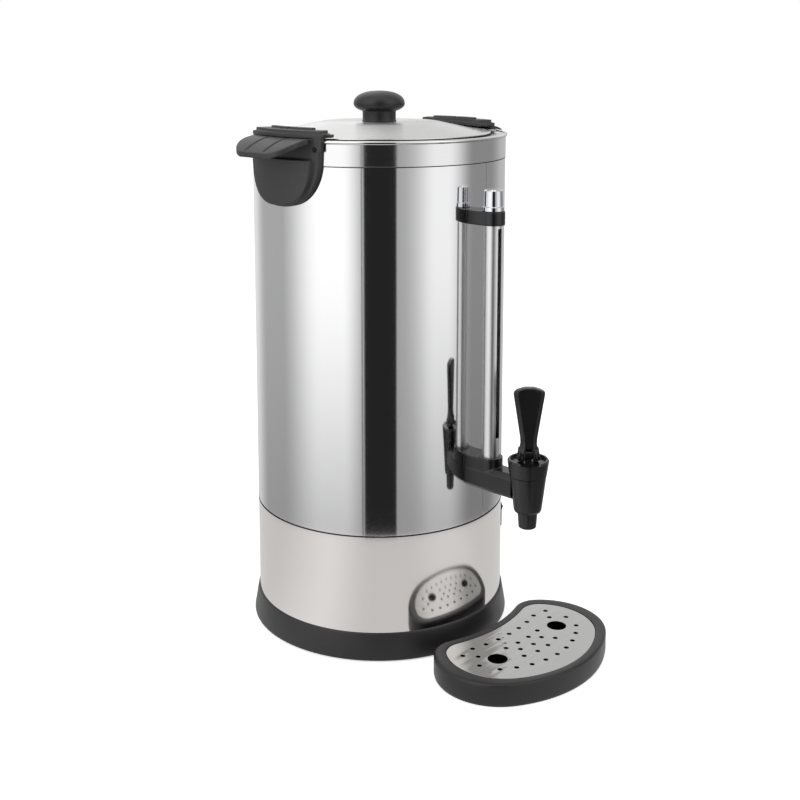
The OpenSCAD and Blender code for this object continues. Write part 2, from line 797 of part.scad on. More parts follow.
module gauge_clamp() {
    arm_w = 16;
    ring_r = guard_r + 2.8;
    color("#1d1d1e") difference() {
        union() {
            translate([0, gauge_y, clamp_z]) cylinder(r = ring_r, h = clamp_h);
            translate([0, gauge_y, clamp_top_z]) cylinder(r = neck_r, h = neck_h);
            translate([-arm_w / 2, gauge_y, clamp_z]) cube([arm_w, gauge_reach + 2, clamp_h]);
            translate([-arm_w / 2 - 3, -body_r - 3, clamp_z - 2]) cube([arm_w + 6, 6, clamp_h + 4]);
        }
        cylinder(r = body_r + seat_gap, h = clamp_top_z * 2);
        translate([0, gauge_y, clamp_z - 1]) cylinder(r = guard_r + seat_gap, h = clamp_h - 1);
        translate([0, gauge_y, clamp_z]) cylinder(r = glass_r + 0.6, h = 60);
        rod_y(gauge_screw_r + seat_gap, -body_r + 5, -body_r - 9, gauge_screw_z);
    }
}

module clamp_screw() {
    color("#b9bbbe") {
        rod_y(gauge_screw_r * 2, -jacket_in_r + 2.4, -jacket_in_r + 0.4, gauge_screw_z);
        rod_y(gauge_screw_r, -jacket_in_r + 0.5, -body_r - 8.5, gauge_screw_z);
    }
}

module gauge_cap() {
    flange_r = guard_r + 2;
    flange_h = 4.5;
    low_r = guard_r + 1;
    top_r = guard_r + 0.5;
    color("#d6d7d8") translate([0, gauge_y, clamp_top_z]) difference() {
        rotate_extrude() polygon([
            [0, 0], [flange_r - 0.4, 0], [flange_r, 0.4], [flange_r, flange_h - 0.6],
            [flange_r - 0.6, flange_h], [low_r, flange_h], [top_r, cap_h - 1.2], [top_r - 1.2, cap_h],
            [0, cap_h]]);
        translate([0, 0, -1]) cylinder(r = neck_r + slide_gap, h = neck_h + 2);
    }
}

module valve_body() {
    low_r = valve_low_d / 2;
    top_r = bonnet_low_d / 2;
    bevel = 3;
    spout_top_r = spout_d / 2 + 1;
    color("#1d1d1e") difference() {
        union() {
            translate([0, tap_y, 0]) rotate_extrude() polygon([
                [0, spout_z], [spout_d / 2 - 0.8, spout_z], [spout_d / 2, spout_z + 0.8],
                [spout_top_r, shoulder_z], [low_r - bevel, shoulder_z], [low_r - 0.8, shoulder_z + 1],
                [low_r, shoulder_z + bevel], [top_r - 0.4, bonnet_z - 0.4], [top_r - 0.8, bonnet_z],
                [valve_neck_r, bonnet_z], [valve_neck_r, bonnet_z + valve_neck_h],
                [0, bonnet_z + valve_neck_h]]);
            rod_y(arm_r - 0.5, tap_y + valve_face, tap_y, tap_z);
        }
        translate([0, tap_y, seat_z]) cylinder(r = chamber_r, h = 60);
        translate([0, tap_y, spout_z - 1]) cylinder(r = way_r + 0.5, h = 60);
        rod_y(way_r, tap_y + valve_face + 1, tap_y, tap_z);
    }
}

module tap_bonnet() {
    rim_r = bonnet_d / 2;
    low_r = bonnet_low_d / 2;
    notch_w = lever_foot_w - 2;
    notch_step = 0.6;
    neck_z = bonnet_z + valve_neck_h + 0.2;
    color("#1d1d1e") translate([0, tap_y, 0]) difference() {
        rotate_extrude() polygon([
            [stem_r + run_gap, neck_z], [valve_neck_r + seat_gap, neck_z],
            [valve_neck_r + seat_gap, bonnet_z], [low_r - 0.8, bonnet_z], [low_r, bonnet_z + 0.8],
            [rim_r, bonnet_top_z - 1.5], [rim_r - 1, bonnet_top_z], [bonnet_recess_r, bonnet_top_z],
            [bonnet_recess_r, bonnet_floor_z], [stem_r + run_gap, bonnet_floor_z]]);
        rotate([0, 0, -lever_turn]) translate([-notch_w / 2, -rim_r - 1, bonnet_floor_z + notch_step])
            cube([notch_w, rim_r, bonnet_top_z]);
    }
}

// Puts the lever's own axes, pin along X and front towards -Y, at the valve
module at_lever() {
    translate([0, tap_y, 0]) rotate([0, 0, -lever_turn]) children();
}

// One level of the lever: a rectangle with bevelled corners
function lever_ring(z, w, t, crown) =
    let (a = w / 2, b = t / 2, c = min(3.2, t / 3))
    [for (p = [[-a, -b + c], [-a + c, -b], [-a / 3, -b], [a / 3, -b], [a - c, -b], [a, -b + c],
               [a, b - c], [a - c, b], [a / 3, b], [-a / 3, b], [-a + c, b], [-a, b - c]])
        [p[0], p[1], z + crown * (1 - pow(p[0] / a, 2))]];

module tap_lever() {
    crown = 3.6;
    foot_z = pin_z - 5;
    color("#1d1d1e") at_lever() difference() {
        union() {
            loft([
                lever_ring(foot_z, lever_foot_w, lever_foot_t, 0),
                lever_ring(foot_z + 4, lever_foot_w - 1, lever_foot_t, 0),
                lever_ring(lever_waist_z - 4, lever_waist_w + 1, lever_waist_t + 1, 0),
                lever_ring(lever_waist_z, lever_waist_w, lever_waist_t, 0),
                lever_ring(lever_waist_z + 5, lever_waist_w + 0.7, lever_waist_t, 0),
                lever_ring(lever_top_z - crown - 3, lever_top_w, lever_top_t, crown * 0.8),
                lever_ring(lever_top_z - crown - 0.8, lever_top_w - 0.6, lever_top_t - 0.6, crown),
                lever_ring(lever_top_z - crown, lever_top_w - 2.4, lever_top_t - 2.4, crown)]);
            translate([-lever_foot_w / 2 + 1.2, 0, pin_z]) rotate([0, 90, 0])
                cylinder(r = lever_base_r, h = lever_foot_w - 2.4);
        }
        translate([-lever_foot_w, 0, pin_z]) rotate([0, 90, 0])
            cylinder(r = pin_d / 2 + seat_gap, h = lever_foot_w * 2);
        translate([-eye_t / 2 - slide_gap, -20, pin_z - 20]) cube([eye_t + 2 * slide_gap, 40, 26]);
    }
}

module lever_pin() {
    color("#b9bbbe") at_lever() translate([-lever_foot_w / 2 + 0.5, 0, pin_z]) rotate([0, 90, 0])
        cylinder(r = pin_d / 2, h = lever_foot_w - 1);
}

module valve_stem() {
    eye_r = 5;
    color("#3b3b3d") {
        translate([0, tap_y, stem_low_z]) cylinder(r = stem_r, h = pin_z - 4 - stem_low_z);
        translate([0, tap_y, stem_low_z]) cylinder(r = chamber_r - 2.5, h = 2);
        at_lever() difference() {
            translate([-eye_t / 2, 0, pin_z]) rotate([0, 90, 0]) cylinder(r = eye_r, h = eye_t);
            translate([-eye_t, 0, pin_z]) rotate([0, 90, 0])
                cylinder(r = pin_d / 2 + run_gap, h = eye_t * 2);
        }
    }
}

module seat_cup() {
    color("#b9b4aa") translate([0, tap_y, seat_z])
        cylinder(r1 = way_r + 2, r2 = chamber_r - 2, h = cup_h);
}

// Points of one ring of the spring's wire at a height along the coil
function spring_ring(t, r, z1, z2) =
    let (a = 360 * spring_turns * t, z = z1 + (z2 - z1) * t)
    [for (k = [0 : 5]) let (b = 60 * k, rho = r + spring_wire_r * cos(b))
        [rho * cos(a), rho * sin(a), z + spring_wire_r * sin(b)]];

module tap_spring() {
    coil_r = stem_r + 2.4;
    low = stem_low_z + 2 + spring_wire_r + 0.1;
    high = bonnet_z + valve_neck_h + 0.2 - spring_wire_r - 0.1;
    n = spring_turns * 8;
    color("#c0c1c3") translate([0, tap_y, 0])
        loft([for (i = [n : -1 : 0]) spring_ring(i / n, coil_r, low, high)]);
}

// DRIP TRAY

// Outline of the tray, drawn in by an inset: a disc with a bite round the base and rounded ends
function tray_path(g) =
    let (ro = tray_r - g, rb = tray_bite_r + g, re = tray_end_r - g,
         d1 = tray_r - tray_end_r, d2 = tray_bite_r + tray_end_r,
         ey = -(d2 * d2 - d1 * d1 + tray_y * tray_y) / (2 * tray_y),
         ex = sqrt(d2 * d2 - ey * ey),
         a_out = atan2(ey + tray_y, ex), a_in = atan2(ey, ex))
    concat(arc([0, -tray_y], ro, -180 - a_out, a_out, 28),
           arc([ex, ey], re, a_out + 15, a_in + 180 - 15, 8),
           arc([0, 0], rb, a_in, -180 - a_in, 12),
           arc([-ex, ey], re, -a_in + 15, 180 - a_out - 15, 8));

function tray_ring(g, z) = [for (p = tray_path(g)) [p[0], p[1], z]];

module drip_tray() {
    foot = 1.6;
    wall = 2.6;
    roof_z = plate_z - wall;
    color("#262627") {
        loft_loop([
            tray_ring(foot, 0), tray_ring(foot / 4, foot), tray_ring(0, foot * 2.5),
            tray_ring(0, tray_h - 6), tray_ring(0.5, tray_h - 3), tray_ring(2, tray_h - 1),
            tray_ring(4.2, tray_h),
            tray_ring(tray_rim, tray_h), tray_ring(tray_rim, plate_z), tray_ring(tray_well, plate_z),
            tray_ring(tray_well, 0), tray_ring(tray_well - wall, 0), tray_ring(tray_well - wall, roof_z),
            tray_ring(wall * 2, roof_z), tray_ring(wall, roof_z - wall), tray_ring(wall, 0)]);
        linear_extrude(tray_floor) polygon(tray_path(tray_well - 1));
    }
}

// Drain holes: rows that follow the bite and the front edge, and a diamond in the middle
module drain_holes() {
    row_r = tray_bite_r + 28;
    step = 5.6;
    front_r = tray_r - 29;
    front_step = 12.9;
    pitch = 17.5;
    for (i = [-4 : 4]) rotate([0, 0, step * i]) translate([0, -row_r]) circle(d = drain_d);
    for (i = [-5 : 5]) translate([0, -tray_y]) rotate([0, 0, front_step * i])
        translate([0, -front_r]) circle(d = drain_d);
    for (row = [[0, 2], [1, 1], [2, 2]]) for (i = [-row[1] : row[1]])
        if (row[1] == 1 || i != 0)
            translate([row[1] == 1 ? i * pitch : (i - sign(i) / 2) * pitch, -row_r - 16 - 12 * row[0]])
                circle(d = drain_d);
    for (side = [-1, 1]) translate([side * 59, -row_r - 6]) circle(d = drain_d);
}

module drip_plate() {
    finger_x = 50;
    finger_y = tray_bite_r + 50;
    color("#cfcfce") translate([0, 0, plate_z]) linear_extrude(plate_t) difference() {
        polygon(tray_path(tray_rim + slide_gap));
        drain_holes();
        for (side = [-1, 1]) translate([side * finger_x, -finger_y]) circle(d = finger_d);
    }
}

// BREWING SET

module pump_tube() {
    r = pump_d / 2;
    bell_r = 24;
    color("#c4c4c3") difference() {
        union() {
            translate([0, 0, tank_floor_z]) cylinder(r1 = bell_r, r2 = bell_r - 2, h = 3);
            translate([0, 0, tank_floor_z + 3]) cylinder(r1 = bell_r - 2, r2 = r + 1, h = 7);
            translate([0, 0, tank_floor_z]) cylinder(r = r, h = pump_top_z - tank_floor_z);
            translate([0, 0, basket_z - 4]) cylinder(r = r + 4, h = 4);
        }
        translate([0, 0, tank_floor_z + 2]) cylinder(r = r - 1, h = pump_top_z);
        translate([0, 0, tank_floor_z - 1]) cylinder(r1 = bell_r - 3, r2 = r - 1, h = 6);
    }
}

module coffee_basket() {
    wall = sheet_t;
    sleeve_r = pump_d / 2 + seat_gap;
    ring_n = [6, 12, 18, 24];
    color("#c4c4c3") difference() {
        union() {
            ring(basket_r, basket_r - wall, basket_z, basket_h);
            ring(basket_r, sleeve_r, basket_z, wall);
            ring(sleeve_r + wall, sleeve_r, basket_z, basket_h - 4);
            ring(basket_r + 2, basket_r - wall, basket_z + basket_h - wall, wall);
        }
        for (k = [1 : 4]) for (i = [0 : ring_n[k - 1] - 1]) rotate([0, 0, 360 * i / ring_n[k - 1]])
            translate([basket_r * (k + 0.6) / 5.4, 0, basket_z - 1])
                cylinder(r = 1.2, h = wall + 2, $fn = 16);
    }
}

module basket_cover() {
    z = basket_z + basket_h;
    color("#c4c4c3") difference() {
        union() {
            ring(basket_r + 2, pump_d / 2 + seat_gap, z, sheet_t);
            ring(pump_d / 2 + seat_gap + sheet_t, pump_d / 2 + seat_gap, z, 8);
            ring(basket_r + 2, basket_r + 2 - sheet_t, z, 5);
        }
        for (k = [1 : 2]) for (i = [0 : 8 * k - 1]) rotate([0, 0, 45 * i / k])
            translate([basket_r * (k + 0.4) / 3, 0, z - 1])
                cylinder(r = 1.4, h = sheet_t + 2, $fn = 16);
    }
}

// ELECTRICS

module heating_element() {
    w = 9;
    color("#8f8b86") {
        rotate([0, 0, 90 + element_gap_a]) rotate_extrude(angle = 360 - 2 * element_gap_a)
            translate([heater_r - w / 2, tank_under_z - element_t]) square([w, element_t]);
        for (side = [-1, 1]) rotate([0, 0, 90 + side * (element_gap_a + 2)])
            translate([heater_r, 0, tank_under_z - element_t - element_stub])
                cylinder(r = 3, h = element_stub + 0.5);
    }
}

// A disc thermostat under the tank's floor, with its two tabs
module disc_thermostat(x) {
    flange_h = 3;
    cup_z = -12;
    translate([x, stat_y, tank_under_z]) {
        translate([0, 0, -flange_h]) cylinder(r = 9, h = flange_h);
        translate([0, 0, cup_z]) cylinder(r = 7.5, h = -cup_z - flange_h + 0.5);
        for (side = [-1, 1]) translate([side * stat_tab_x - 0.4, -3, -stat_h])
            cube([0.8, 6, stat_h + cup_z + 0.5]);
    }
}

module thermostat() {
    color("#e2ddd0") disc_thermostat(stat_x);
}

module thermal_cutout() {
    color("#4d3f36") disc_thermostat(-stat_x);
}

module terminal_block() {
    w = block_size[0];
    d = block_size[1];
    color("#e6e3da") translate([-w / 2, block_y - d / 2, flange_z]) difference() {
        cube(block_size);
        for (i = [-1 : 1]) for (side = [-1, 1])
            translate([w / 2 + block_pitch * i, d / 2 + block_row * side, block_floor])
                cylinder(r = lead_r + 0.8, h = block_size[2]);
    }
}

module mains_inlet() {
    wall = 2;
    ear = 6;
    low_z = inlet_z - inlet_h / 2;
    color("#1d1d1e") at_angle(180) difference() {
        union() {
            translate([-inlet_w / 2, -body_r - 3, low_z]) cube([inlet_w, inlet_depth + 3, inlet_h]);
            difference() {
                translate([-inlet_w / 2 - ear, -body_r - 4, low_z - 3])
                    cube([inlet_w + 2 * ear, 10, inlet_h + 6]);
                cylinder(r = body_r + seat_gap, h = inlet_z * 2);
            }
        }
        translate([-inlet_w / 2 + wall, -body_r - 5, low_z + wall])
            cube([inlet_w - 2 * wall, inlet_depth + 2, inlet_h - 2 * wall]);
        each_inlet_pin(0, inlet_depth + 5, 0);
    }
}

// Blades at the three places of the inlet, from a depth behind the jacket, smaller all round by a gap
module each_inlet_pin(depth, length, gap) {
    for (p = inlet_pin_places)
        translate([p[0] - pin_size[0] / 2 + gap, -body_r + depth, inlet_z + p[1] - pin_size[1] / 2 + gap])
            cube([pin_size[0] - 2 * gap, length, pin_size[1] - 2 * gap]);
}

module inlet_pins() {
    blade = 16;
    color("#c8b98c") at_angle(180) each_inlet_pin(inlet_depth - blade, blade + inlet_tab, 0.02);
}

module switch_frame() {
    color("#1d1d1e") at_angle(switch_angle) difference() {
        union() {
            difference() {
                translate([-switch_w / 2 - bezel, -body_r - 2.4, switch_z - switch_h / 2 - bezel])
                    cube([switch_w + 2 * bezel, 6, switch_h + 2 * bezel]);
                cylinder(r = body_r + seat_gap, h = switch_z * 2);
            }
            translate([-switch_w / 2, -body_r - 1, switch_z - switch_h / 2])
                cube([switch_w, switch_depth, switch_h]);
        }
        translate([-switch_w / 2 + 1.5, -body_r - 5, switch_z - switch_h / 2 + 1.5])
            cube([switch_w - 3, 15, switch_h - 3]);
        translate([-switch_w / 2 + 0.6, -body_r + 1.5, switch_z]) rotate([0, 90, 0])
            cylinder(r = 1 + run_gap, h = switch_w - 1.2);
    }
}

module switch_rocker() {
    w = switch_w - 3 - 2 * slide_gap;
    half = switch_h / 2 - 1.5 - slide_gap - 0.4;
    tilt = 8;
    color("#161617") at_angle(switch_angle) translate([0, -body_r + 1.5, switch_z]) {
        rotate([tilt, 0, 0]) translate([-w / 2, 0, 0]) rotate([90, 0, 90]) linear_extrude(w) polygon([
            [-5.2, half], [-3.6, 0], [-5.2, -half], [1, -half + 1.5], [3, 0], [1, half - 1.5]]);
        translate([-switch_w / 2 + 0.8, 0, 0]) rotate([0, 90, 0]) cylinder(r = 1, h = switch_w - 1.6);
    }
}

module pilot_lamp() {
    color("#d8801f") at_angle(switch_angle) {
        difference() {
            union() {
                rod_y(lamp_r, -body_r + 4, -body_r - 1.6, lamp_z);
                intersection() {
                    translate([0, -body_r - 1.6 + 4, lamp_z]) sphere(r = 5);
                    rod_y(lamp_r - 1, -body_r, -body_r - 6, lamp_z);
                }
            }
            cylinder(r = body_r + seat_gap, h = lamp_z * 2);
        }
        rod_y(lamp_r - 0.8, -body_r + 16, -body_r - 1, lamp_z);
    }
}

// A ring of eight points round one place on a lead
function lead_ring(p, d) =
    let (t = d / norm(d), side = cross(t, [0.36, 0.48, 0.8]), s = side / norm(side), u = cross(s, t))
    [for (k = [0 : 7]) p + lead_r * (cos(45 * k) * s + sin(45 * k) * u)];

module lead(route) {
    last = len(route) - 1;
    loft([for (i = [last : -1 : 0])
        lead_ring(route[i], route[min(i + 1, last)] - route[max(i - 1, 0)])]);
}

module wiring() {
    color("#7a4a32") for (route = leads) lead(route);
}

base_ring();
bottom_cover();
rubber_feet();
base_screws();
lower_band();
outer_jacket();
top_collar();
inner_tank();
lid();
lid_seal();
lid_knob();
knob_screw();
handle_left();
handle_right();
lid_lock_left();
lid_lock_right();
lock_pins();
handle_screws();
tap_manifold();
tap_gaskets();
wall_spacer();
tap_nut();
gauge_guard();
gauge_glass();
gauge_seals();
gauge_clamp();
clamp_screw();
gauge_cap();
valve_body();
tap_bonnet();
tap_lever();
lever_pin();
valve_stem();
seat_cup();
tap_spring();
drip_tray();
drip_plate();
pump_tube();
coffee_basket();
basket_cover();
heating_element();
thermostat();
thermal_cutout();
terminal_block();
mains_inlet();
inlet_pins();
switch_frame();
switch_rocker();
pilot_lamp();
wiring();
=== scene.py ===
"""The looks of a coffee urn: bright and brushed steel, black mouldings and clear glass, in a white studio."""

import math

import bmesh
import bpy
from mathutils import Matrix, Vector


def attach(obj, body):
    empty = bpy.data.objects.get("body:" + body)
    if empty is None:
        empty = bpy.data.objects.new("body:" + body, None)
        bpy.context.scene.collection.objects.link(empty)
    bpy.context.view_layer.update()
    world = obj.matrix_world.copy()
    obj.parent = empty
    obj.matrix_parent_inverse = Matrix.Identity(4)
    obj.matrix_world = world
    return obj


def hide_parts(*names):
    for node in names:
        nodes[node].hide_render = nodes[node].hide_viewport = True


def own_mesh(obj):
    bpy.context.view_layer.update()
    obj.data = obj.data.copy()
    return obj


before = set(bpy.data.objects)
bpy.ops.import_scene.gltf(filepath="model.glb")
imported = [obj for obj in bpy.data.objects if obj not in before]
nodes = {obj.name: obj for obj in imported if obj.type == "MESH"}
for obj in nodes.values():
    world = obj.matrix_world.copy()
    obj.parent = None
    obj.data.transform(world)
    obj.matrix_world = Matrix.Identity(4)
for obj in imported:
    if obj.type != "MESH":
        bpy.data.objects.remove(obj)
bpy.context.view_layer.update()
MM = 0.001
# The body in millimetres: its radius, and the heights of its two joints
BODY_R = 125
SEAM_Z = 123
COLLAR_Z = 470

# COLOURS AND NODES


def colour(code):
    """An sRGB hex colour as linear RGBA."""
    channels = [int(code[i:i + 2], 16) / 255 for i in (1, 3, 5)]
    return [c / 12.92 if c <= 0.04045 else ((c + 0.055) / 1.055) ** 2.4 for c in channels] + [1.0]


def add(tree, kind, inputs=None, **settings):
    """Adds a node. Settings are its options; inputs are values, or the sockets or nodes that feed them."""
    made = tree.nodes.new(kind)
    for name, value in settings.items():
        setattr(made, name, value)
    for name, value in (inputs or {}).items():
        if isinstance(value, bpy.types.Node):
            value = value.outputs[0]
        if isinstance(value, bpy.types.NodeSocket):
            tree.links.new(value, made.inputs[name])
        else:
            made.inputs[name].default_value = value
    return made


def node_material(name):
    """A new material with no nodes yet, and its node tree."""
    material = bpy.data.materials.new(name)
    material.use_nodes = True
    material.node_tree.nodes.clear()
    return material, material.node_tree


def surface(name, base, roughness, **sockets):
    """A material of one principled shader. Sockets are written with _ for spaces, such as Coat_Weight."""
    material, tree = node_material(name)
    shader = add(tree, "ShaderNodeBsdfPrincipled", {"Base Color": colour(base), "Roughness": roughness})
    for socket, value in sockets.items():
        shader.inputs[socket.replace("_", " ")].default_value = value
    add(tree, "ShaderNodeOutputMaterial", {"Surface": shader})
    return material, tree, shader


def round_the_axis(tree, run, pitch):
    """Coordinates for marks round the urn's axis: one unit is run mm round the body, and pitch mm across."""
    place = add(tree, "ShaderNodeTexCoord").outputs["Object"]
    at = add(tree, "ShaderNodeSeparateXYZ", {0: place})
    back = add(tree, "ShaderNodeMath", {0: at.outputs["Y"], 1: -1.0}, operation="MULTIPLY")
    angle = add(tree, "ShaderNodeMath", {0: at.outputs["X"], 1: back}, operation="ARCTAN2")
    along = add(tree, "ShaderNodeMath", {0: angle, 1: BODY_R / run}, operation="MULTIPLY")
    across = add(tree, "ShaderNodeMath", {0: at.outputs["Z"], 1: 1 / (pitch * MM)}, operation="MULTIPLY")
    flat = add(tree, "ShaderNodeCombineXYZ", {"X": at.outputs["X"], "Y": at.outputs["Y"]})
    out = add(tree, "ShaderNodeVectorMath", {0: flat}, operation="LENGTH")
    depth = add(tree, "ShaderNodeMath", {0: out.outputs["Value"], 1: 1 / (pitch * MM)}, operation="MULTIPLY")
    return add(tree, "ShaderNodeCombineXYZ", {"X": along, "Y": across, "Z": depth})


# MATERIALS

# Sizes of the finishes' marks, in millimetres. On the real urn the polishing and brushing marks, the grain of
# the drip plate and of the mouldings, and the lines of the tube are finer. They are drawn coarser here, so
# that they show in the render.
SHEET_WAVE = 38
SHEET_WAVE_DEPTH = 0.2
POLISH_RUN = 60
POLISH_PITCH = 1.2
BRUSH_PITCH = 0.5
PLATE_GRAIN = 0.9
PLATE_GRAIN_DEPTH = 0.01
TUBE_LINE = 0.5
TUBE_LINE_RUN = 1000 / 6
MOULD_PATCH = 22
SMEAR = 9


def polished_stainless(name, base, low, high, wave):
    """Rolled stainless sheet, polished: a clear mirror, with the faint waviness that rolled sheet keeps."""
    material, tree, shader = surface(name, base, low, Metallic=1.0)
    place = add(tree, "ShaderNodeTexCoord").outputs["Object"]
    waves = add(tree, "ShaderNodeTexNoise", {"Vector": place, "Scale": 1 / (SHEET_WAVE * MM), "Detail": 1.0})
    round_body = round_the_axis(tree, POLISH_RUN, POLISH_PITCH)
    marks = add(tree, "ShaderNodeTexNoise", {"Vector": round_body, "Scale": 1.0, "Detail": 3.0})
    rough = add(tree, "ShaderNodeMapRange", {"Value": marks, "To Min": low, "To Max": high})
    tree.links.new(rough.outputs[0], shader.inputs["Roughness"])
    bump = add(tree, "ShaderNodeBump", {"Height": waves, "Strength": wave, "Distance": SHEET_WAVE_DEPTH * MM})
    tree.links.new(bump.outputs[0], shader.inputs["Normal"])
    return material


def brushed_round(name, base, low, high, run, depth):
    """Stainless sheet brushed round the axis: fine lines along the circle that smear light up and down."""
    material, tree, shader = surface(name, base, low, Metallic=1.0,
                                     Anisotropic=0.8, Anisotropic_Rotation=0.25)
    round_body = round_the_axis(tree, run, BRUSH_PITCH)
    lines = add(tree, "ShaderNodeTexNoise",
                {"Vector": round_body, "Scale": 1.0, "Detail": 4.0, "Roughness": 0.6})
    rough = add(tree, "ShaderNodeMapRange", {"Value": lines, "To Min": low, "To Max": high})
    tree.links.new(rough.outputs[0], shader.inputs["Roughness"])
    bump = add(tree, "ShaderNodeBump", {"Height": lines, "Strength": 0.15, "Distance": depth * MM})
    tree.links.new(bump.outputs[0], shader.inputs["Normal"])
    tangent = add(tree, "ShaderNodeTangent", direction_type="RADIAL", axis="Z")
    tree.links.new(tangent.outputs[0], shader.inputs["Tangent"])
    return material


def grained_metal(name, base, low, high, grain):
    """A metal with an even finish: a fine grain, with no direction, that makes its gloss a little uneven."""
    material, tree, shader = surface(name, base, low, Metallic=1.0)
    place = add(tree, "ShaderNodeTexCoord").outputs["Object"]
    spots = add(tree, "ShaderNodeTexNoise", {"Vector": place, "Scale": 1 / (grain * MM), "Detail": 3.0})
    rough = add(tree, "ShaderNodeMapRange", {"Value": spots, "To Min": low, "To Max": high})
    tree.links.new(rough.outputs[0], shader.inputs["Roughness"])
    return material


def rolled_stainless(name, base, low, high):
    """Rolled stainless of the drip plate: a fine grey grain, sharp enough to mirror the urn's base."""
    material, tree, shader = surface(name, base, low, Metallic=1.0)
    place = add(tree, "ShaderNodeTexCoord").outputs["Object"]
    grain = add(tree, "ShaderNodeTexNoise", {"Vector": place, "Scale": 1 / (PLATE_GRAIN * MM), "Detail": 3.0})
    rough = add(tree, "ShaderNodeMapRange", {"Value": grain, "To Min": low, "To Max": high})
    tree.links.new(rough.outputs[0], shader.inputs["Roughness"])
    bump = add(tree, "ShaderNodeBump",
               {"Height": grain, "Strength": 0.06, "Distance": PLATE_GRAIN_DEPTH * MM})
    tree.links.new(bump.outputs[0], shader.inputs["Normal"])
    return material


def drawn_tube(name, base, low, high):
    """Drawn stainless tube: a soft bright sheen, with faint lines along its length."""
    material, tree, shader = surface(name, base, low, Metallic=1.0)
    place = add(tree, "ShaderNodeTexCoord").outputs["Object"]
    across = 1 / (TUBE_LINE * MM)
    stretched = {"Vector": place, "Scale": (across, across, 1 / (TUBE_LINE_RUN * MM))}
    along = add(tree, "ShaderNodeMapping", stretched)
    lines = add(tree, "ShaderNodeTexNoise", {"Vector": along, "Scale": 1.0, "Detail": 2.0})
    rough = add(tree, "ShaderNodeMapRange", {"Value": lines, "To Min": low, "To Max": high})
    tree.links.new(rough.outputs[0], shader.inputs["Roughness"])
    return material


def moulded(name, base, low, high, grain, depth, specular=0.5):
    """A moulding: the mould's grain breaks up its sheen, which is brighter or duller in broad patches."""
    material, tree, shader = surface(name, base, low, Specular_IOR_Level=specular)
    place = add(tree, "ShaderNodeTexCoord").outputs["Object"]
    grit = add(tree, "ShaderNodeTexNoise", {"Vector": place, "Scale": 1 / (grain * MM), "Detail": 2.0})
    patches = add(tree, "ShaderNodeTexNoise",
                  {"Vector": place, "Scale": 1 / (MOULD_PATCH * MM), "Detail": 2.0})
    rough = add(tree, "ShaderNodeMapRange", {"Value": patches, "To Min": low, "To Max": high})
    tree.links.new(rough.outputs[0], shader.inputs["Roughness"])
    bump = add(tree, "ShaderNodeBump", {"Height": grit, "Strength": 0.4, "Distance": depth * MM})
    tree.links.new(bump.outputs[0], shader.inputs["Normal"])
    return material


def clear(name, base, low, high, **sockets):
    """A clear glass or moulding: see-through, with faint smears that dull its shine here and there."""
    material, tree, shader = surface(name, base, low, **sockets)
    place = add(tree, "ShaderNodeTexCoord").outputs["Object"]
    smears = add(tree, "ShaderNodeTexNoise", {"Vector": place, "Scale": 1 / (SMEAR * MM), "Detail": 2.0})
    rough = add(tree, "ShaderNodeMapRange", {"Value": smears, "To Min": low, "To Max": high})
    tree.links.new(rough.outputs[0], shader.inputs["Roughness"])
    return material


# Each finish has its name, its colour and its least and greatest roughness. Then come the strength of a
# sheet's waves, the run and depth of brush lines, the width of a metal's grain, or the width and depth of a
# mould's grain, in millimetres.
MATERIALS = {
    # The jacket mirrors the studio sharply. The buffed band does so a little softer and warmer.
    "polished": polished_stainless("mirror_polished_stainless", "#e4e4e5", 0.05, 0.09, 0.05),
    "band": polished_stainless("buffed_stainless", "#e2dedb", 0.06, 0.11, 0.03),
    # The collar keeps a streaked mirror image, and the spun lid only a broad glow.
    "collar": brushed_round("brushed_stainless", "#e0e0e0", 0.08, 0.2, 30, 0.008),
    "lid": brushed_round("spun_stainless", "#dcdcdb", 0.22, 0.34, 60, 0.02),
    # Small steel parts have an even, soft shine, and the pins a dark one.
    "satin": grained_metal("satin_stainless", "#d4d3d1", 0.24, 0.36, 0.6),
    "blackened": grained_metal("blackened_steel", "#2a2a2c", 0.34, 0.46, 0.6),
    "plate": rolled_stainless("rolled_stainless", "#bdbdbc", 0.03, 0.07),
    "tube": drawn_tube("drawn_stainless_tube", "#e4e4e4", 0.3, 0.4),
    # Plated parts: chrome shows hard bright and dark bands, and brass a soft yellow shine.
    "chrome": grained_metal("bright_chrome_plate", "#dcdde0", 0.03, 0.08, 4),
    "brass": grained_metal("plated_brass", "#d2c08c", 0.2, 0.3, 1),
    # Mouldings: a dull grey grain on the handles, a low sheen on the base and clear highlights on the tap.
    "charcoal": moulded("textured_charcoal_abs", "#313133", 0.38, 0.5, 0.5, 0.05),
    "satin_black": moulded("satin_black_abs", "#1b1b1d", 0.34, 0.46, 0.4, 0.03),
    "gloss_black": moulded("gloss_black_abs", "#161618", 0.16, 0.26, 0.8, 0.01),
    # Seals and feet hardly shine at all.
    "rubber": moulded("moulded_black_rubber", "#191919", 0.6, 0.75, 0.5, 0.05, 0.3),
    "silicone": moulded("moulded_pale_silicone", "#c9c4b8", 0.5, 0.6, 0.6, 0.03),
    # Parts of the controls: chalky, resinous and waxy surfaces.
    "ceramic": moulded("pressed_pale_steatite", "#e2ddd0", 0.5, 0.6, 0.5, 0.03),
    "resin": moulded("moulded_brown_phenolic", "#4d3f36", 0.3, 0.4, 0.5, 0.02),
    "sleeve": moulded("varnished_wire_sleeve", "#7a4a32", 0.45, 0.55, 0.5, 0.02),
    # The lamp lets a little light through, and the glass shows by its bright edges.
    "amber": clear("moulded_amber_polycarbonate", "#d8801f", 0.12, 0.2, Transmission_Weight=0.4),
    "glass": clear("drawn_borosilicate_glass", "#f4f8f8", 0.01, 0.04, Transmission_Weight=1.0, IOR=1.47),
}

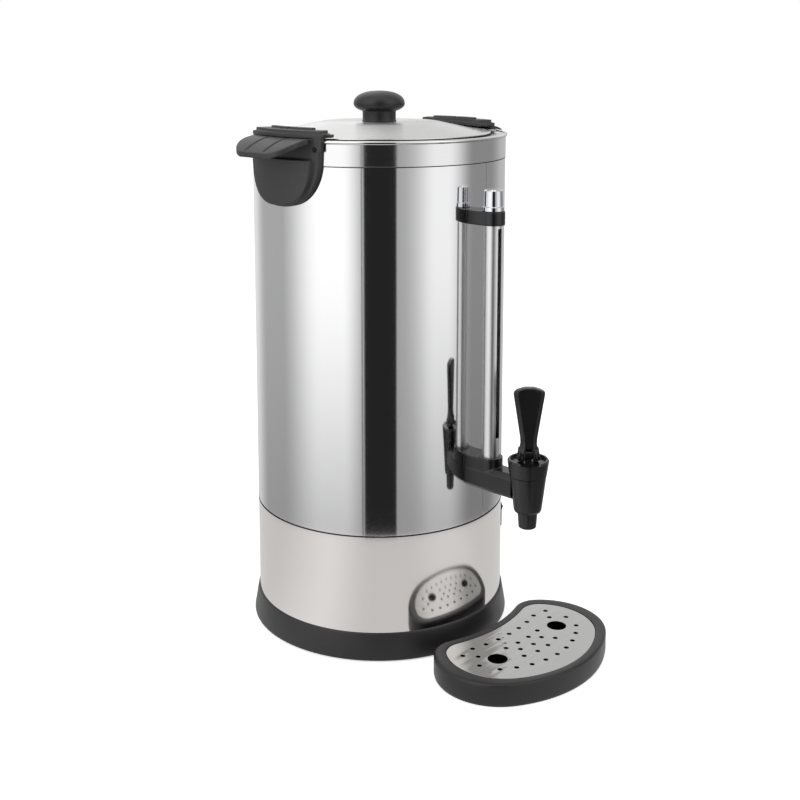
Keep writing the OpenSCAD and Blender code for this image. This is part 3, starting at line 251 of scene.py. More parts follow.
FINISHES = {
    "polished": ["outer_jacket"],
    "collar": ["top_collar"],
    "band": ["lower_band"],
    "lid": ["lid"],
    "tube": ["gauge_guard", "pump_tube"],
    "plate": ["drip_plate"],
    "chrome": ["gauge_cap"],
    "brass": ["inlet_pins"],
    "charcoal": ["handle_left", "handle_right", "lid_lock_left", "lid_lock_right"],
    "blackened": ["lock_pins", "lever_pin"],
    "satin_black": ["base_ring", "lid_knob", "drip_tray"],
    "gloss_black": ["tap_manifold", "gauge_clamp", "valve_body", "tap_bonnet", "tap_lever", "valve_stem",
                    "mains_inlet", "switch_frame", "switch_rocker"],
    "rubber": ["rubber_feet", "lid_seal", "gauge_seals", "wall_spacer", "tap_gaskets"],
    "silicone": ["seat_cup"],
    "ceramic": ["thermostat", "terminal_block"],
    "resin": ["thermal_cutout"],
    "sleeve": ["wiring"],
    "amber": ["pilot_lamp"],
    "glass": ["gauge_glass"],
    "satin": ["inner_tank", "bottom_cover", "tap_nut", "coffee_basket", "basket_cover", "heating_element",
              "base_screws", "knob_screw", "handle_screws", "clamp_screw", "tap_spring"],
}
for finish, members in FINISHES.items():
    for member in members:
        nodes[member].data.materials.clear()
        nodes[member].data.materials.append(MATERIALS[finish])

# FORMS
# Sizes from here to the studio are in millimetres, and become metres where a mesh is made.

# Steps round a turned form as wide as the body, and along a curved bar
LATHE_STEPS = 256
BAR_STEPS = 24
# A profile that closes on the axis stops this far from it
AXIS_R = 0.01
# Points this close are one point
WELD = 0.001
# Degrees between two faces, from which their edge shows as an edge
SHARP_EDGE = 32


def skin(mesh, rings):
    """Joins a row of closed rings of points, and closes the first and the last with a face."""
    made = [[mesh.verts.new(Vector(point) * MM) for point in ring] for ring in rings]
    for here, there in zip(made, made[1:]):
        for i in range(len(here)):
            k = (i + 1) % len(here)
            mesh.faces.new((here[i], here[k], there[k], there[i])).smooth = True
    mesh.faces.new(made[0])
    mesh.faces.new(made[-1])


def turned(mesh, profile, steps, middle=(0, 0)):
    """Turns a closed profile of (radius, height) points round an upright axis."""
    rings = []
    for i in range(steps):
        a = 2 * math.pi * i / steps
        points = [(middle[0] + r * math.cos(a), middle[1] + r * math.sin(a), z) for r, z in profile]
        rings.append([mesh.verts.new(Vector(point) * MM) for point in points])
    for here, there in zip(rings, rings[1:] + rings[:1]):
        for j in range(len(profile)):
            k = (j + 1) % len(profile)
            mesh.faces.new((here[j], there[j], there[k], here[k])).smooth = True


def pipe(mesh, bore_r, r, low, high, steps, middle=(0, 0)):
    """A plain upright pipe between two heights."""
    turned(mesh, [(bore_r, low), (r, low), (r, high), (bore_r, high)], steps, middle)


def piece(name, mesh, finish, body, slot, *stands_for):
    """Makes a mesh a piece: its finish, the body that carries it and the nodes that it stands for."""
    bmesh.ops.remove_doubles(mesh, verts=mesh.verts, dist=WELD * MM)
    bmesh.ops.recalc_face_normals(mesh, faces=mesh.faces)
    data = bpy.data.meshes.new(name)
    mesh.to_mesh(data)
    mesh.free()
    data.set_sharp_from_angle(angle=math.radians(SHARP_EDGE))
    made = bpy.data.objects.new(name, data)
    bpy.context.scene.collection.objects.link(made)
    data.materials.append(MATERIALS[finish])
    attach(made, body)
    if stands_for:
        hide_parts(*stands_for)
    return made


def soften(moulding, voxel, passes):
    """Joins the overlapping solids of a moulding, and rounds its edges and corners as its mould does."""
    remesh = moulding.modifiers.new("moulded_skin", "REMESH")
    remesh.mode = "VOXEL"
    remesh.voxel_size = voxel * MM
    remesh.use_smooth_shade = True
    smooth = moulding.modifiers.new("rounded_edges", "SMOOTH")
    smooth.factor = 0.5
    smooth.iterations = passes


def arc(middle, r, start, end, steps):
    """Points of an arc, from one angle to another in degrees."""
    angles = [math.radians(start + (end - start) * i / steps) for i in range(steps + 1)]
    return [(middle[0] + r * math.cos(a), middle[1] + r * math.sin(a)) for a in angles]


def circle(middle, r, steps):
    """Points of a full circle, without the last one, which is the first."""
    return arc(middle, r, 0, 360 - 360 / steps, steps - 1)


def sector(mesh, r_in, r_out, low, high, middle, half):
    """A curved bar round the urn's axis. Its angles are in degrees."""
    rings = []
    for i in range(BAR_STEPS + 1):
        a = math.radians(middle + half * (2 * i / BAR_STEPS - 1))
        rings.append([(r * math.cos(a), r * math.sin(a), z)
                      for r, z in ((r_in, low), (r_out, low), (r_out, high), (r_in, high))])
    skin(mesh, rings)


# JOINT BEADS: PAINTED SHADOW IN THE BODY'S JOINTS

SEAM_BEAD_R = 0.6
SEAM_BEAD_DROP = 0.5
COLLAR_BEAD_R = 0.55
# How far the bead's middle lies inside the wall, as a share of its radius
BEAD_SUNK = 0.55
BEAD_STEPS = 12


def joint_shadow_bead(name, z, r):
    """A thin dark bead in a joint of the body: painted shadow that stands for the shade in the joint's gap.
    """
    mesh = bmesh.new()
    turned(mesh, circle((BODY_R - r * BEAD_SUNK, z), r, BEAD_STEPS), LATHE_STEPS)
    piece(name, mesh, "rubber", "urn", "black_rubber")


# Dark rings of painted shadow where the seam and the collar leave a shaded gap
joint_shadow_bead("seam_shadow_bead", SEAM_Z - SEAM_BEAD_DROP, SEAM_BEAD_R)
joint_shadow_bead("collar_shadow_bead", COLLAR_Z, COLLAR_BEAD_R)

# BASE

BASE_R = 130.4
BASE_TOP_R = 126.6
BASE_H = 27
FOOT_LIFT = 1
RING_WALL = 3.5
SEAT_GAP = 0.1
# The flange under the body, and the relief that leads from it to the wall
FLANGE_R = 119.5
FLANGE_Z = (5.2, 9.5)
RELIEF_R = 124
RELIEF_Z = 6.5


def base_moulding():
    """The base ring: a straight flare with rounded lower and upper edges, hollow underneath."""
    seat = BODY_R + SEAT_GAP
    wall = BASE_R - RING_WALL
    # A round of 2 mm at the table, the flare, a round of 1 mm at the top, and the inside from the top down
    profile = [
        (wall, FOOT_LIFT), (BASE_R - 1.8, FOOT_LIFT), (BASE_R - 1.1, FOOT_LIFT + 0.2),
        (BASE_R - 0.5, FOOT_LIFT + 0.6), (BASE_R - 0.1, FOOT_LIFT + 1.3), (BASE_R, FOOT_LIFT + 2),
        (BASE_R - 0.1, FOOT_LIFT + 3.4), (BASE_TOP_R, BASE_H - 1.2), (BASE_TOP_R - 0.1, BASE_H - 0.7),
        (BASE_TOP_R - 0.35, BASE_H - 0.3), (BASE_TOP_R - 0.9, BASE_H), (seat, BASE_H),
        (seat, FLANGE_Z[1]), (FLANGE_R, FLANGE_Z[1]), (FLANGE_R, FLANGE_Z[0]),
        (RELIEF_R - 0.5, FLANGE_Z[0]), (RELIEF_R, RELIEF_Z), (wall - 0.5, RELIEF_Z)]
    mesh = bmesh.new()
    turned(mesh, profile, LATHE_STEPS)
    piece("base_moulding", mesh, "satin_black", "urn", "black_satin_plastic", "base_ring")


base_moulding()

# LID AND KNOB

LID_R = 110.5
LID_Z = 493.6
LID_RISE = 9.6
LID_FLAT_R = 59
LID_FLANGE = 7
LID_SHEET = 0.8
PLUG_R = 103
PLUG_H = 9
# How far the plug ring and the lugs reach into the sheet that carries them
PLUG_WELD = 0.2
LUG_WELD = 2
LUG_REACH = 6.5
# The lugs' places round the lid and half of their run, in degrees
LUGS = (140, 320)
LUG_HALF = 5.2
KNOB_R = 25.4
KNOB_H = 30.2
# The height of the knob's widest place and the depth of the curve under it, as shares of its height
KNOB_WIDEST = 0.58
KNOB_UNDER = 0.3
# Powers that make the cap's curve fuller than an ellipse, upward and sideways
KNOB_FULL = (0.9, 0.85)
NECK_R = 16.5
NECK_FOOT = 0.6
# How far the neck's small curve reaches out before it meets the cap
NECK_FLARE = 1.3
CAP_STEPS = 33
KNOB_STEPS = 96


def lid_pressing():
    """The lid: a flat middle on a low cone, a flange with a turned edge, a plug ring and two locking lugs."""
    under = LID_Z + LID_RISE
    crown = under + LID_SHEET
    flange = LID_Z + LID_SHEET
    cone_r = LID_R - LID_FLANGE
    # The upper face from the middle outwards, with soft bends and a rounded edge, and the lower face back
    profile = [
        (AXIS_R, crown), (LID_FLAT_R - 2, crown), (LID_FLAT_R, crown - 0.1), (LID_FLAT_R + 2, crown - 0.4),
        (cone_r - 2, flange + 0.3), (cone_r, flange), (LID_R - 0.4, flange),
        (LID_R - 0.1, LID_Z + LID_SHEET * 0.8), (LID_R, LID_Z + LID_SHEET / 2), (LID_R, LID_Z),
        (cone_r - 1.5, LID_Z), (LID_FLAT_R, under), (AXIS_R, under)]
    mesh = bmesh.new()
    turned(mesh, profile, LATHE_STEPS)
    pipe(mesh, PLUG_R - LID_SHEET, PLUG_R, LID_Z - PLUG_H, LID_Z + PLUG_WELD, LATHE_STEPS)
    for lug in LUGS:
        sector(mesh, LID_R - LUG_WELD, LID_R + LUG_REACH, LID_Z, flange, lug, LUG_HALF)
    piece("lid_pressing", mesh, "lid", "lid", "satin_steel", "lid")


def knob():
    """The knob: a straight neck that runs in a small curve into a rounded cap."""
    base = LID_Z + LID_RISE + LID_SHEET
    widest = KNOB_H * KNOB_WIDEST
    under = KNOB_H * KNOB_UNDER
    start = -math.degrees(math.acos((NECK_R + NECK_FLARE) / KNOB_R))
    join = widest + under * math.sin(math.radians(start))
    # The neck's foot, and its small curve into the cap
    profile = [
        (AXIS_R, 0), (NECK_R + NECK_FOOT, 0), (NECK_R + NECK_FOOT, 0.8), (NECK_R + 0.1, 1.5), (NECK_R, 2.4),
        (NECK_R, join - 2.6), (NECK_R + 0.15, join - 1.4), (NECK_R + 0.55, join - 0.6)]
    for i in range(CAP_STEPS):
        a = math.radians(start + (90 - start) * i / CAP_STEPS)
        rise = (KNOB_H - widest) * math.sin(a) ** KNOB_FULL[0] if a > 0 else under * math.sin(a)
        profile.append((KNOB_R * math.cos(a) ** KNOB_FULL[1], widest + rise))
    profile.append((AXIS_R, KNOB_H))
    mesh = bmesh.new()
    turned(mesh, [(r, base + z) for r, z in profile], KNOB_STEPS)
    piece("knob_moulding", mesh, "satin_black", "lid", "black_satin_plastic", "lid_knob")


lid_pressing()
knob()

# HANDLES AND LID LOCKS

# The handle's back against the rim: radii, half width, heights, the depth and fullness of its lower end, and
# how much it widens per mm upward and draws in per mm downward
BACK_R = (125.6, 130.6)
BACK_HALF = 45.8
BACK_LOW = 431.2
BACK_TOP = 495
BACK_ROUND = 38
BACK_BOW = 0.8
BACK_TAPER = 0.045
BACK_DRAW = 0.17
# The raised panel on it
PANEL_R = (127, 135.6)
PANEL_BORDER = 5
PANEL_LIFT = 1.4
PANEL_TOP = 476
PANEL_DRAW = 0.09
# The lower end stops just short of its lowest point, so that it keeps a width
END_STEPS = 24
END_STEP_DEG = 3.7
SIDE_STEPS = 8
BACK_STEPS = 40
GRIP_ROOT = 128.6
GRIP_EDGE = 162.5
GRIP_TOP = 495.2
GRIP_HALF = 38.5
GRIP_CORNER = 24
GRIP_DROP = 12.4
# The power of its droop: level at the root, and steeper towards the edge
GRIP_DROOP = 1.8
GRIP_T = 5.2
GRIP_STEPS = 48
GRIP_SIDE_STEPS = 160
GROOVES = (-12.8, 12.8)
GROOVE_HALF = 1.5
GROOVE_DEPTH = 1.9
# The share of the grip's reach at which the grooves end
GROOVE_END = 0.93
LOCK_Z = 495.4
# The steps of a lid lock: inner and outer radius, low and high over its seat, and half of the run in degrees
LOCK_STEPS = [
    (112.5, 131, 0, 3.8, 21.4),
    (112.8, 120.5, 0.2, 3.2, 23.4),
    (113, 128.5, 1, 6.8, 20.4),
]
# The same for what comes in pairs, the bars on top and the hanging ears, and the degrees from the middle
LOCK_PAIRS = [
    (113.5, 119, 5.8, 8.8, 6.6, 7.4),
    (127.6, 130.9, -12.5, 1, 1.9, 19.3),
]


def upright(mesh, side_inset, low_inset, draw_in, top, radii):
    """A curved plate on the +X side of the rim. Its sides draw in over a rounded lower end."""
    turn_z = BACK_LOW + BACK_ROUND
    wide = BACK_HALF - side_inset - BACK_TAPER * (BACK_TOP - turn_z)
    rows = []
    for i in range(END_STEPS, -1, -1):
        a = math.radians(END_STEP_DEG * i)
        drop = (BACK_ROUND - low_inset) * math.sin(a) ** BACK_BOW
        rows.append(((wide - draw_in * drop) * math.cos(a) ** BACK_BOW, turn_z - drop))
    for i in range(1, SIDE_STEPS + 1):
        z = turn_z + (top - turn_z) * i / SIDE_STEPS
        rows.append((wide + BACK_TAPER * (z - turn_z), z))
    rings = []
    for w, z in rows:
        across = [w * (2 * i / BACK_STEPS - 1) for i in range(BACK_STEPS + 1)]
        outer = [(math.sqrt(radii[1] ** 2 - y * y), y, z) for y in across]
        inner = [(math.sqrt(radii[0] ** 2 - y * y), y, z) for y in reversed(across)]
        rings.append(outer + inner)
    skin(mesh, rings)


def groove_at(y, reach):
    """How deep a groove is cut across the grip, at a place across it and a share of its reach."""
    if reach >= GROOVE_END:
        return 0
    cuts = [1 - (abs(y - groove) / GROOVE_HALF) ** 2 for groove in GROOVES]
    return GROOVE_DEPTH * max(0, *cuts)


def grip(mesh):
    """The grip: a thin wing that droops outward, with rounded corners and grooves between its three pads."""
    rings = []
    for i in range(GRIP_STEPS + 1):
        reach = math.sin(math.radians(90 * i / GRIP_STEPS))
        x = GRIP_ROOT + (GRIP_EDGE - GRIP_ROOT) * reach
        past = max(0, x - (GRIP_EDGE - GRIP_CORNER))
        w = GRIP_HALF - GRIP_CORNER + math.sqrt(max(0, GRIP_CORNER ** 2 - past ** 2))
        z = GRIP_TOP - GRIP_DROP * reach ** GRIP_DROOP
        across = [w * (2 * j / GRIP_SIDE_STEPS - 1) for j in range(GRIP_SIDE_STEPS + 1)]
        top = [(x, y, z - groove_at(y, reach)) for y in across]
        under = [(x, y, z - GRIP_T) for y in reversed(across)]
        rings.append(top + under)
    skin(mesh, rings)


def turned_about(mesh, turn):
    """Turns a mesh that was drawn on the +X side round the urn's axis, in degrees."""
    matrix = Matrix.Rotation(math.radians(turn), 3, "Z")
    bmesh.ops.rotate(mesh, verts=mesh.verts, cent=(0, 0, 0), matrix=matrix)


def handle(side, turn):
    """A handle: a plate against the rim, a raised panel and a grip."""
    mesh = bmesh.new()
    upright(mesh, side_inset=0, low_inset=0, draw_in=BACK_DRAW, top=BACK_TOP, radii=BACK_R)
    upright(mesh, side_inset=PANEL_BORDER, low_inset=PANEL_LIFT, draw_in=PANEL_DRAW, top=PANEL_TOP,
            radii=PANEL_R)
    grip(mesh)
    turned_about(mesh, turn)
    made = piece("handle_moulding_" + side, mesh, "charcoal", "urn", "charcoal_plastic", "handle_" + side)
    soften(made, voxel=0.6, passes=5)


def lid_lock(side, turn):
    """A lid lock: a plate in two steps over the rim, with two bars on top, two wings and two hanging ears."""
    mesh = bmesh.new()
    for r_in, r_out, low, high, half in LOCK_STEPS:
        sector(mesh, r_in, r_out, LOCK_Z + low, LOCK_Z + high, 0, half)
    for way in (-1, 1):
        for r_in, r_out, low, high, half, off in LOCK_PAIRS:
            sector(mesh, r_in, r_out, LOCK_Z + low, LOCK_Z + high, way * off, half)
    turned_about(mesh, turn)
    made = piece("lock_moulding_" + side, mesh, "charcoal", "urn", "charcoal_plastic", "lid_lock_" + side)
    soften(made, voxel=0.45, passes=5)


for side, turn in (("left", 180), ("right", 0)):
    handle(side, turn)
    lid_lock(side, turn)

# TAP AND GAUGE

TAP_Y = -192
TAP_Z = 173.4
GAUGE_Y = -147
# The manifold's bar: where it meets the wall and the valve, its half width and height, and its bevels
WALL_Y = -124.5
BAR_END_Y = -181
BAR_HALF_W = 12
BAR_HALF_H = 11.7
BAR_BEVEL = 4.5
# The block under the gauge, a little narrower than the bar, and the round socket in it
BLOCK_HALF = BAR_HALF_W - 0.2
BLOCK_TOP = 193
SOCKET_BORE_R = 8.5
SOCKET_R = BAR_HALF_W - 0.3
SOCKET_SUNK = 2
SOCKET_TOP = 194
SOCKET_STEPS = 64
# The shank that goes through the two walls
SHANK_R = 9.5
SHANK_Z = 174
SHANK_Y = (-106.5, -126)
SHANK_STEPS = 24
CLAMP_HALF = 11.2
CLAMP_Z = (415, 427.9)
CLAMP_WALL_Y = -124.6
CLAMP_STEPS = 24
# The neck that the gauge's cap fits over
CAP_NECK_R = (4, 6.6)
CAP_NECK_TOP = 436.8
CAP_NECK_SUNK = 2
CAP_NECK_STEPS = 48
SPRING_R = 5.4
SPRING_WIRE_R = 0.6
SPRING_Z = (165.8, 191.4)
SPRING_TURNS = 6
STEPS_PER_TURN = 24
WIRE_STEPS = 8


def along_y(mesh, outline, ends):
    """Carries an outline of (x, z) points along Y."""
    skin(mesh, [[(x, y, z) for x, z in outline] for y in ends])


def manifold():
    """The manifold: a bevelled bar from wall to valve, a block under the gauge and its round socket."""
    mesh = bmesh.new()
    w, h, bevel = BAR_HALF_W, BAR_HALF_H, BAR_BEVEL
    corners = [(-w, bevel - h), (bevel - w, -h), (w - bevel, -h), (w, bevel - h),
               (w, h - bevel), (w - bevel, h), (bevel - w, h), (-w, h - bevel)]
    along_y(mesh, [(x, TAP_Z + z) for x, z in corners], (WALL_Y, BAR_END_Y))
    block = [(-BLOCK_HALF, TAP_Z), (BLOCK_HALF, TAP_Z), (BLOCK_HALF, BLOCK_TOP), (-BLOCK_HALF, BLOCK_TOP)]
    along_y(mesh, block, (WALL_Y, GAUGE_Y))
    pipe(mesh, SOCKET_BORE_R, SOCKET_R, TAP_Z - SOCKET_SUNK, SOCKET_TOP, SOCKET_STEPS, (0, GAUGE_Y))
    along_y(mesh, circle((0, SHANK_Z), SHANK_R, SHANK_STEPS), SHANK_Y)
    made = piece("manifold_moulding", mesh, "gloss_black", "urn", "black_gloss_plastic", "tap_manifold")
    soften(made, voxel=0.5, passes=8)


def clamp():
    """The clamp: a band from the wall round the top of the guard tube, and the neck for the cap."""
    mesh = bmesh.new()
    band = arc((0, GAUGE_Y), CLAMP_HALF, 180, 360, CLAMP_STEPS)
    band += [(CLAMP_HALF, CLAMP_WALL_Y), (-CLAMP_HALF, CLAMP_WALL_Y)]
    skin(mesh, [[(x, y, z) for x, y in band] for z in CLAMP_Z])
    pipe(mesh, *CAP_NECK_R, CLAMP_Z[1] - CAP_NECK_SUNK, CAP_NECK_TOP, CAP_NECK_STEPS, (0, GAUGE_Y))
    made = piece("clamp_moulding", mesh, "gloss_black", "urn", "black_gloss_plastic", "gauge_clamp")
    soften(made, voxel=0.5, passes=5)


def spring():
    """The tap's coil spring, on a mesh of its own. On the urn it shortens as the lever lifts the stem."""
    wire = circle((SPRING_R, 0), SPRING_WIRE_R, WIRE_STEPS)
    steps = SPRING_TURNS * STEPS_PER_TURN
    rings = []
    for i in range(steps + 1):
        a = 2 * math.pi * SPRING_TURNS * i / steps
        z = SPRING_Z[0] + (SPRING_Z[1] - SPRING_Z[0]) * i / steps
        rings.append([(r * math.cos(a), TAP_Y + r * math.sin(a), z + rise) for r, rise in wire])
    mesh = bmesh.new()
    skin(mesh, rings)
    made = piece("coil_spring", mesh, "satin", "urn", "satin_steel", "tap_spring")
    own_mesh(made)


manifold()
clamp()
spring()
soften(nodes["tap_lever"], voxel=0.4, passes=12)

# DRIP TRAY

# The tray's plan: the radius of its bite round the base, its front edge, the middle and radius of its round
# ends, the radius of its inner corners, and how far it stands to the side
TRAY_BITE = 146.6
TRAY_FRONT = 254
TRAY_END = (39.3, -185.1)
TRAY_END_R = 56.9
TRAY_CORNER_R = 26.4
TRAY_SIDE = 2.9
# How much of an inset the front edge and the ends take, and how much their radii take
INSET_EDGE = 0.9
INSET_ROUND = 0.7
# Steps of the front, an end, an inner corner and the bite
FRONT_STEPS = 40
ROUND_STEPS = 28
CORNER_STEPS = 20
BITE_STEPS = 32
TRAY_H = 22
TRAY_RIM = 8.1
TRAY_WELL = 12.6
TRAY_FLOOR = 3
TRAY_WALL = 2.6
PLATE_Z = 20.5
PLATE_T = 1.2
PLATE_GAP = 0.5
PLATE_EDGE_R = 0.15
DRAIN_R = 2.35
DRAIN_STEPS = 24
FINGER_R = 9.3
FINGER_STEPS = 72
# From here, places of holes are given from the plate's middle line and from the bite
FINGER_AT = (45.1, 46.1)
MIDDLE_DRAIN = 52.7
# The row along the bite: its distance from it, the degrees between holes, and the holes on each side
BITE_ROW = (23.6, 5.28, 3)
# The row along the front edge: its radius, its distance from the edge, and the same
FRONT_ROW = (93, 27, 9.75, 4)
DRAIN_PAIRS = [(62.8, 19.4), (54.3, 30.6), (66.1, 42), (24, 38.9),
               (8, 40.6), (16.1, 49.9), (23.9, 60.3), (7.9, 63.8)]


def tray_outline(inset):
    """The tray's plan: a front edge, round ends, inner corners and a bite, in arcs that touch and run on."""
    front = TRAY_FRONT - INSET_EDGE * inset
    bite = TRAY_BITE + inset
    end_r = TRAY_END_R - INSET_ROUND * inset
    corner_r = TRAY_CORNER_R - INSET_ROUND * inset
    ex, ey = TRAY_END[0] - INSET_EDGE * inset, TRAY_END[1]
    # The middle of the front arc, which holds the two ends
    far = math.hypot(ex, ey)
    near = front - end_r
    mid = -(near ** 2 - far ** 2) / (2 * (near + ey))
    # The middle of an inner corner, which touches the bite from outside and the end from inside
    reach, gap = bite + corner_r, end_r - corner_r
    along = (reach ** 2 - gap ** 2 + far ** 2) / (2 * far)
    off = math.sqrt(reach ** 2 - along ** 2)
    cx, cy = (along * ex - off * ey) / far, (along * ey + off * ex) / far
    # The angles at which one arc passes into the next
    out = math.degrees(math.atan2(ey - mid, ex))
    end = math.degrees(math.atan2(cy - ey, cx - ex))
    inner = math.degrees(math.atan2(cy, cx))
    return (arc((0, mid), front + mid, -180 - out, out, FRONT_STEPS)
            + arc((ex, ey), end_r, out, end, ROUND_STEPS)[1:-1]
            + arc((cx, cy), corner_r, end, inner + 180, CORNER_STEPS)
            + arc((0, 0), bite, inner, -180 - inner, BITE_STEPS)[1:-1]
            + arc((-cx, cy), corner_r, -inner, 180 - end, CORNER_STEPS)
            + arc((-ex, ey), end_r, 180 - end, 180 - out, ROUND_STEPS)[1:-1])


def tray():
    """The drip tray: a rim with a rounded edge, a ledge for the plate, a well, and a hollow underside."""
    roof = PLATE_Z - TRAY_WALL
    hollow = TRAY_WELL - TRAY_WALL
    # Insets and heights: the hollow underside, the outer face with its rounds, the rim, ledge and well
    steps = [
        (hollow, 0), (hollow, roof), (2 * TRAY_WALL, roof), (TRAY_WALL, roof - TRAY_WALL), (TRAY_WALL, 0),
        (1.6, 0), (0.8, 0.6), (0.4, 1.6), (0, 4), (0, TRAY_H - 2.6), (0.1, TRAY_H - 1.9),
        (0.35, TRAY_H - 1.2), (0.8, TRAY_H - 0.6), (1.5, TRAY_H - 0.15), (2.4, TRAY_H),
        (TRAY_RIM - 0.4, TRAY_H), (TRAY_RIM - 0.1, TRAY_H - 0.1), (TRAY_RIM, TRAY_H - 0.4),
        (TRAY_RIM, PLATE_Z), (TRAY_WELL, PLATE_Z), (TRAY_WELL, TRAY_FLOOR)]
    mesh = bmesh.new()
    skin(mesh, [[(x + TRAY_SIDE, y, z) for x, y in tray_outline(inset)] for inset, z in steps])
    piece("tray_moulding", mesh, "satin_black", "drip_tray", "black_satin_plastic", "drip_tray")


def hole_row(r, middle_y, step, count):
    """A row of holes on an arc: one in the middle and a count on each side, a step in degrees apart."""
    angles = [math.radians(step * i) for i in range(-count, count + 1)]
    return [(r * math.sin(a), middle_y - r * math.cos(a)) for a in angles]


def drain_holes():
    """The middles of the drain holes: rows along the bite and the front edge, and pairs between them."""
    off, step, count = BITE_ROW
    holes = hole_row(TRAY_BITE + off, 0, step, count)
    front_r, margin, step, count = FRONT_ROW
    holes += hole_row(front_r, front_r + margin - TRAY_FRONT, step, count)
    holes += [(way * x, -TRAY_BITE - y) for x, y in DRAIN_PAIRS for way in (-1, 1)]
    return holes + [(0, -TRAY_BITE - MIDDLE_DRAIN)]


def plate():
    """The drip plate: one sheet with punched drain holes and two finger holes."""
    fingers = [(way * FINGER_AT[0], -TRAY_BITE - FINGER_AT[1]) for way in (-1, 1)]
    rims = [tray_outline(TRAY_RIM + PLATE_GAP)]
    rims += [circle(hole, DRAIN_R, DRAIN_STEPS) for hole in drain_holes()]
    rims += [circle(hole, FINGER_R, FINGER_STEPS) for hole in fingers]
    curve = bpy.data.curves.new("plate_blank", "CURVE")
    curve.dimensions = "2D"
    curve.fill_mode = "BOTH"
    curve.extrude = (PLATE_T / 2 - PLATE_EDGE_R) * MM
    curve.bevel_depth = PLATE_EDGE_R * MM
    curve.offset = -PLATE_EDGE_R * MM
    for rim in rims:
        spline = curve.splines.new("POLY")
        spline.points.add(len(rim) - 1)
        for point, (x, y) in zip(spline.points, rim):
            point.co = ((x + TRAY_SIDE) * MM, y * MM, 0, 1)
        spline.use_cyclic_u = True
    blank = bpy.data.objects.new("plate_blank", curve)
    bpy.context.scene.collection.objects.link(blank)
    bpy.context.view_layer.update()
    drawn = blank.evaluated_get(bpy.context.evaluated_depsgraph_get())
    punched = bpy.data.meshes.new_from_object(drawn)
    bpy.data.objects.remove(blank)
    mesh = bmesh.new()
    mesh.from_mesh(punched)
    bmesh.ops.translate(mesh, verts=mesh.verts, vec=(0, 0, (PLATE_Z + PLATE_T / 2) * MM))
    piece("plate_pressing", mesh, "plate", "drip_plate", "satin_steel", "drip_plate")


tray()
plate()

# STUDIO

CAMERA_AT = (-0.86537, -0.85554, 0.57822)
CAMERA_TILT = 81.5013
CAMERA_TURN = -46.297
CAMERA_LENS = 55.1064
CAMERA_SHIFT = -0.21438
SENSOR = 36
FACING = Vector((CAMERA_AT[0], CAMERA_AT[1], 0)).normalized()
RIGHT = Vector((-FACING.y, FACING.x, 0))
WHITE = (1, 1, 1, 1)

# Lights and walls round the urn: from and to in degrees from the camera towards its right, the softness of
# each of the two edges, and the level. First the soft boxes on the left and on the right, then the left wall
# and the backdrop's two halves, and then the pools of light painted into the table's glow.
SOFT_BOXES = [
    (-77, -21, 24, 13, 0.84),
    (34, 78, 18, 15, 0.80),
]
ROOM = [
    (-230, 28, 5, 12, 0.17),
    (-230, -140, 5, 14, 0.36),
    (132, 230, 14, 5, 0.25),
]
TABLE_LIGHT = [
    (-62, -24, 34, 20, 0.24),
    (34, 74, 16, 16, 0.10),
]
# Even levels under them, and the level that lights what doesn't mirror
ROOM_LEVEL = 0.31
TABLE_LEVEL = 0.70
FILL_LEVEL = 0.55
# The ceiling adds its level above the horizon. Below it the boxes fade out, and the room dims by a share.
# Each edge is the height of a direction, from -1 straight down to 1 straight up.
CEILING = 0.3
CEILING_EDGE = (0.02, 0.2)
LOW_EDGE = (-0.15, -0.54)
LOW_DIM = 0.38
# The black flag round the camera and the thin strip beside it: from, to, softness, all in degrees. The flag's
# upper edge is given by its elevations, from where it begins to where it is full.
FLAG = (-13.9, 14.9, 0.7)
FLAG_STRIP = (-16.1, -15.3, 0.3)
FLAG_TOP = (45, 25)
FLAG_LEVEL = 0.02
FLOOR_SIZE = 12
# How much the floor adds for the camera alone, so that it is white around the shadow
FLOOR_GLOW = 0.62
# The floor and the table lie this far under the urn's feet, so that no two faces meet
FLOOR_Z = -0.0002
TABLE_Z = -0.0001
TABLE_R = 393 * MM
TABLE_OUT = 27 * MM
TABLE_STEPS = 128


def between(tree, turn, start, end, soft_start, soft_end):
    """1 between two angles, and 0 outside them."""
    rise = add(tree, "ShaderNodeMapRange", interpolation_type="SMOOTHSTEP",
               inputs={"Value": turn, "From Min": start - soft_start, "From Max": start + soft_start})
    fall = add(tree, "ShaderNodeMapRange", interpolation_type="SMOOTHSTEP",
               inputs={"Value": turn, "From Min": end + soft_end, "From Max": end - soft_end})
    return add(tree, "ShaderNodeMath", {0: rise, 1: fall}, operation="MULTIPLY")


def lit_by(tree, turn, boxes, level):
    """The light from a list of boxes, over an even level."""
    total = level
    for start, end, soft_start, soft_end, strength in boxes:
        share = between(tree, turn, start, end, soft_start, soft_end)
        total = add(tree, "ShaderNodeMath", {0: share, 1: strength, 2: total}, operation="MULTIPLY_ADD")
    return total


def turn_of(tree, way):
    """The angle of a direction from the camera towards its right, in degrees."""
    front = add(tree, "ShaderNodeVectorMath", {0: way, 1: FACING}, operation="DOT_PRODUCT").outputs["Value"]
    side = add(tree, "ShaderNodeVectorMath", {0: way, 1: RIGHT}, operation="DOT_PRODUCT").outputs["Value"]
    angle = add(tree, "ShaderNodeMath", {0: side, 1: front}, operation="ARCTAN2")
    return add(tree, "ShaderNodeMath", {0: angle}, operation="DEGREES")


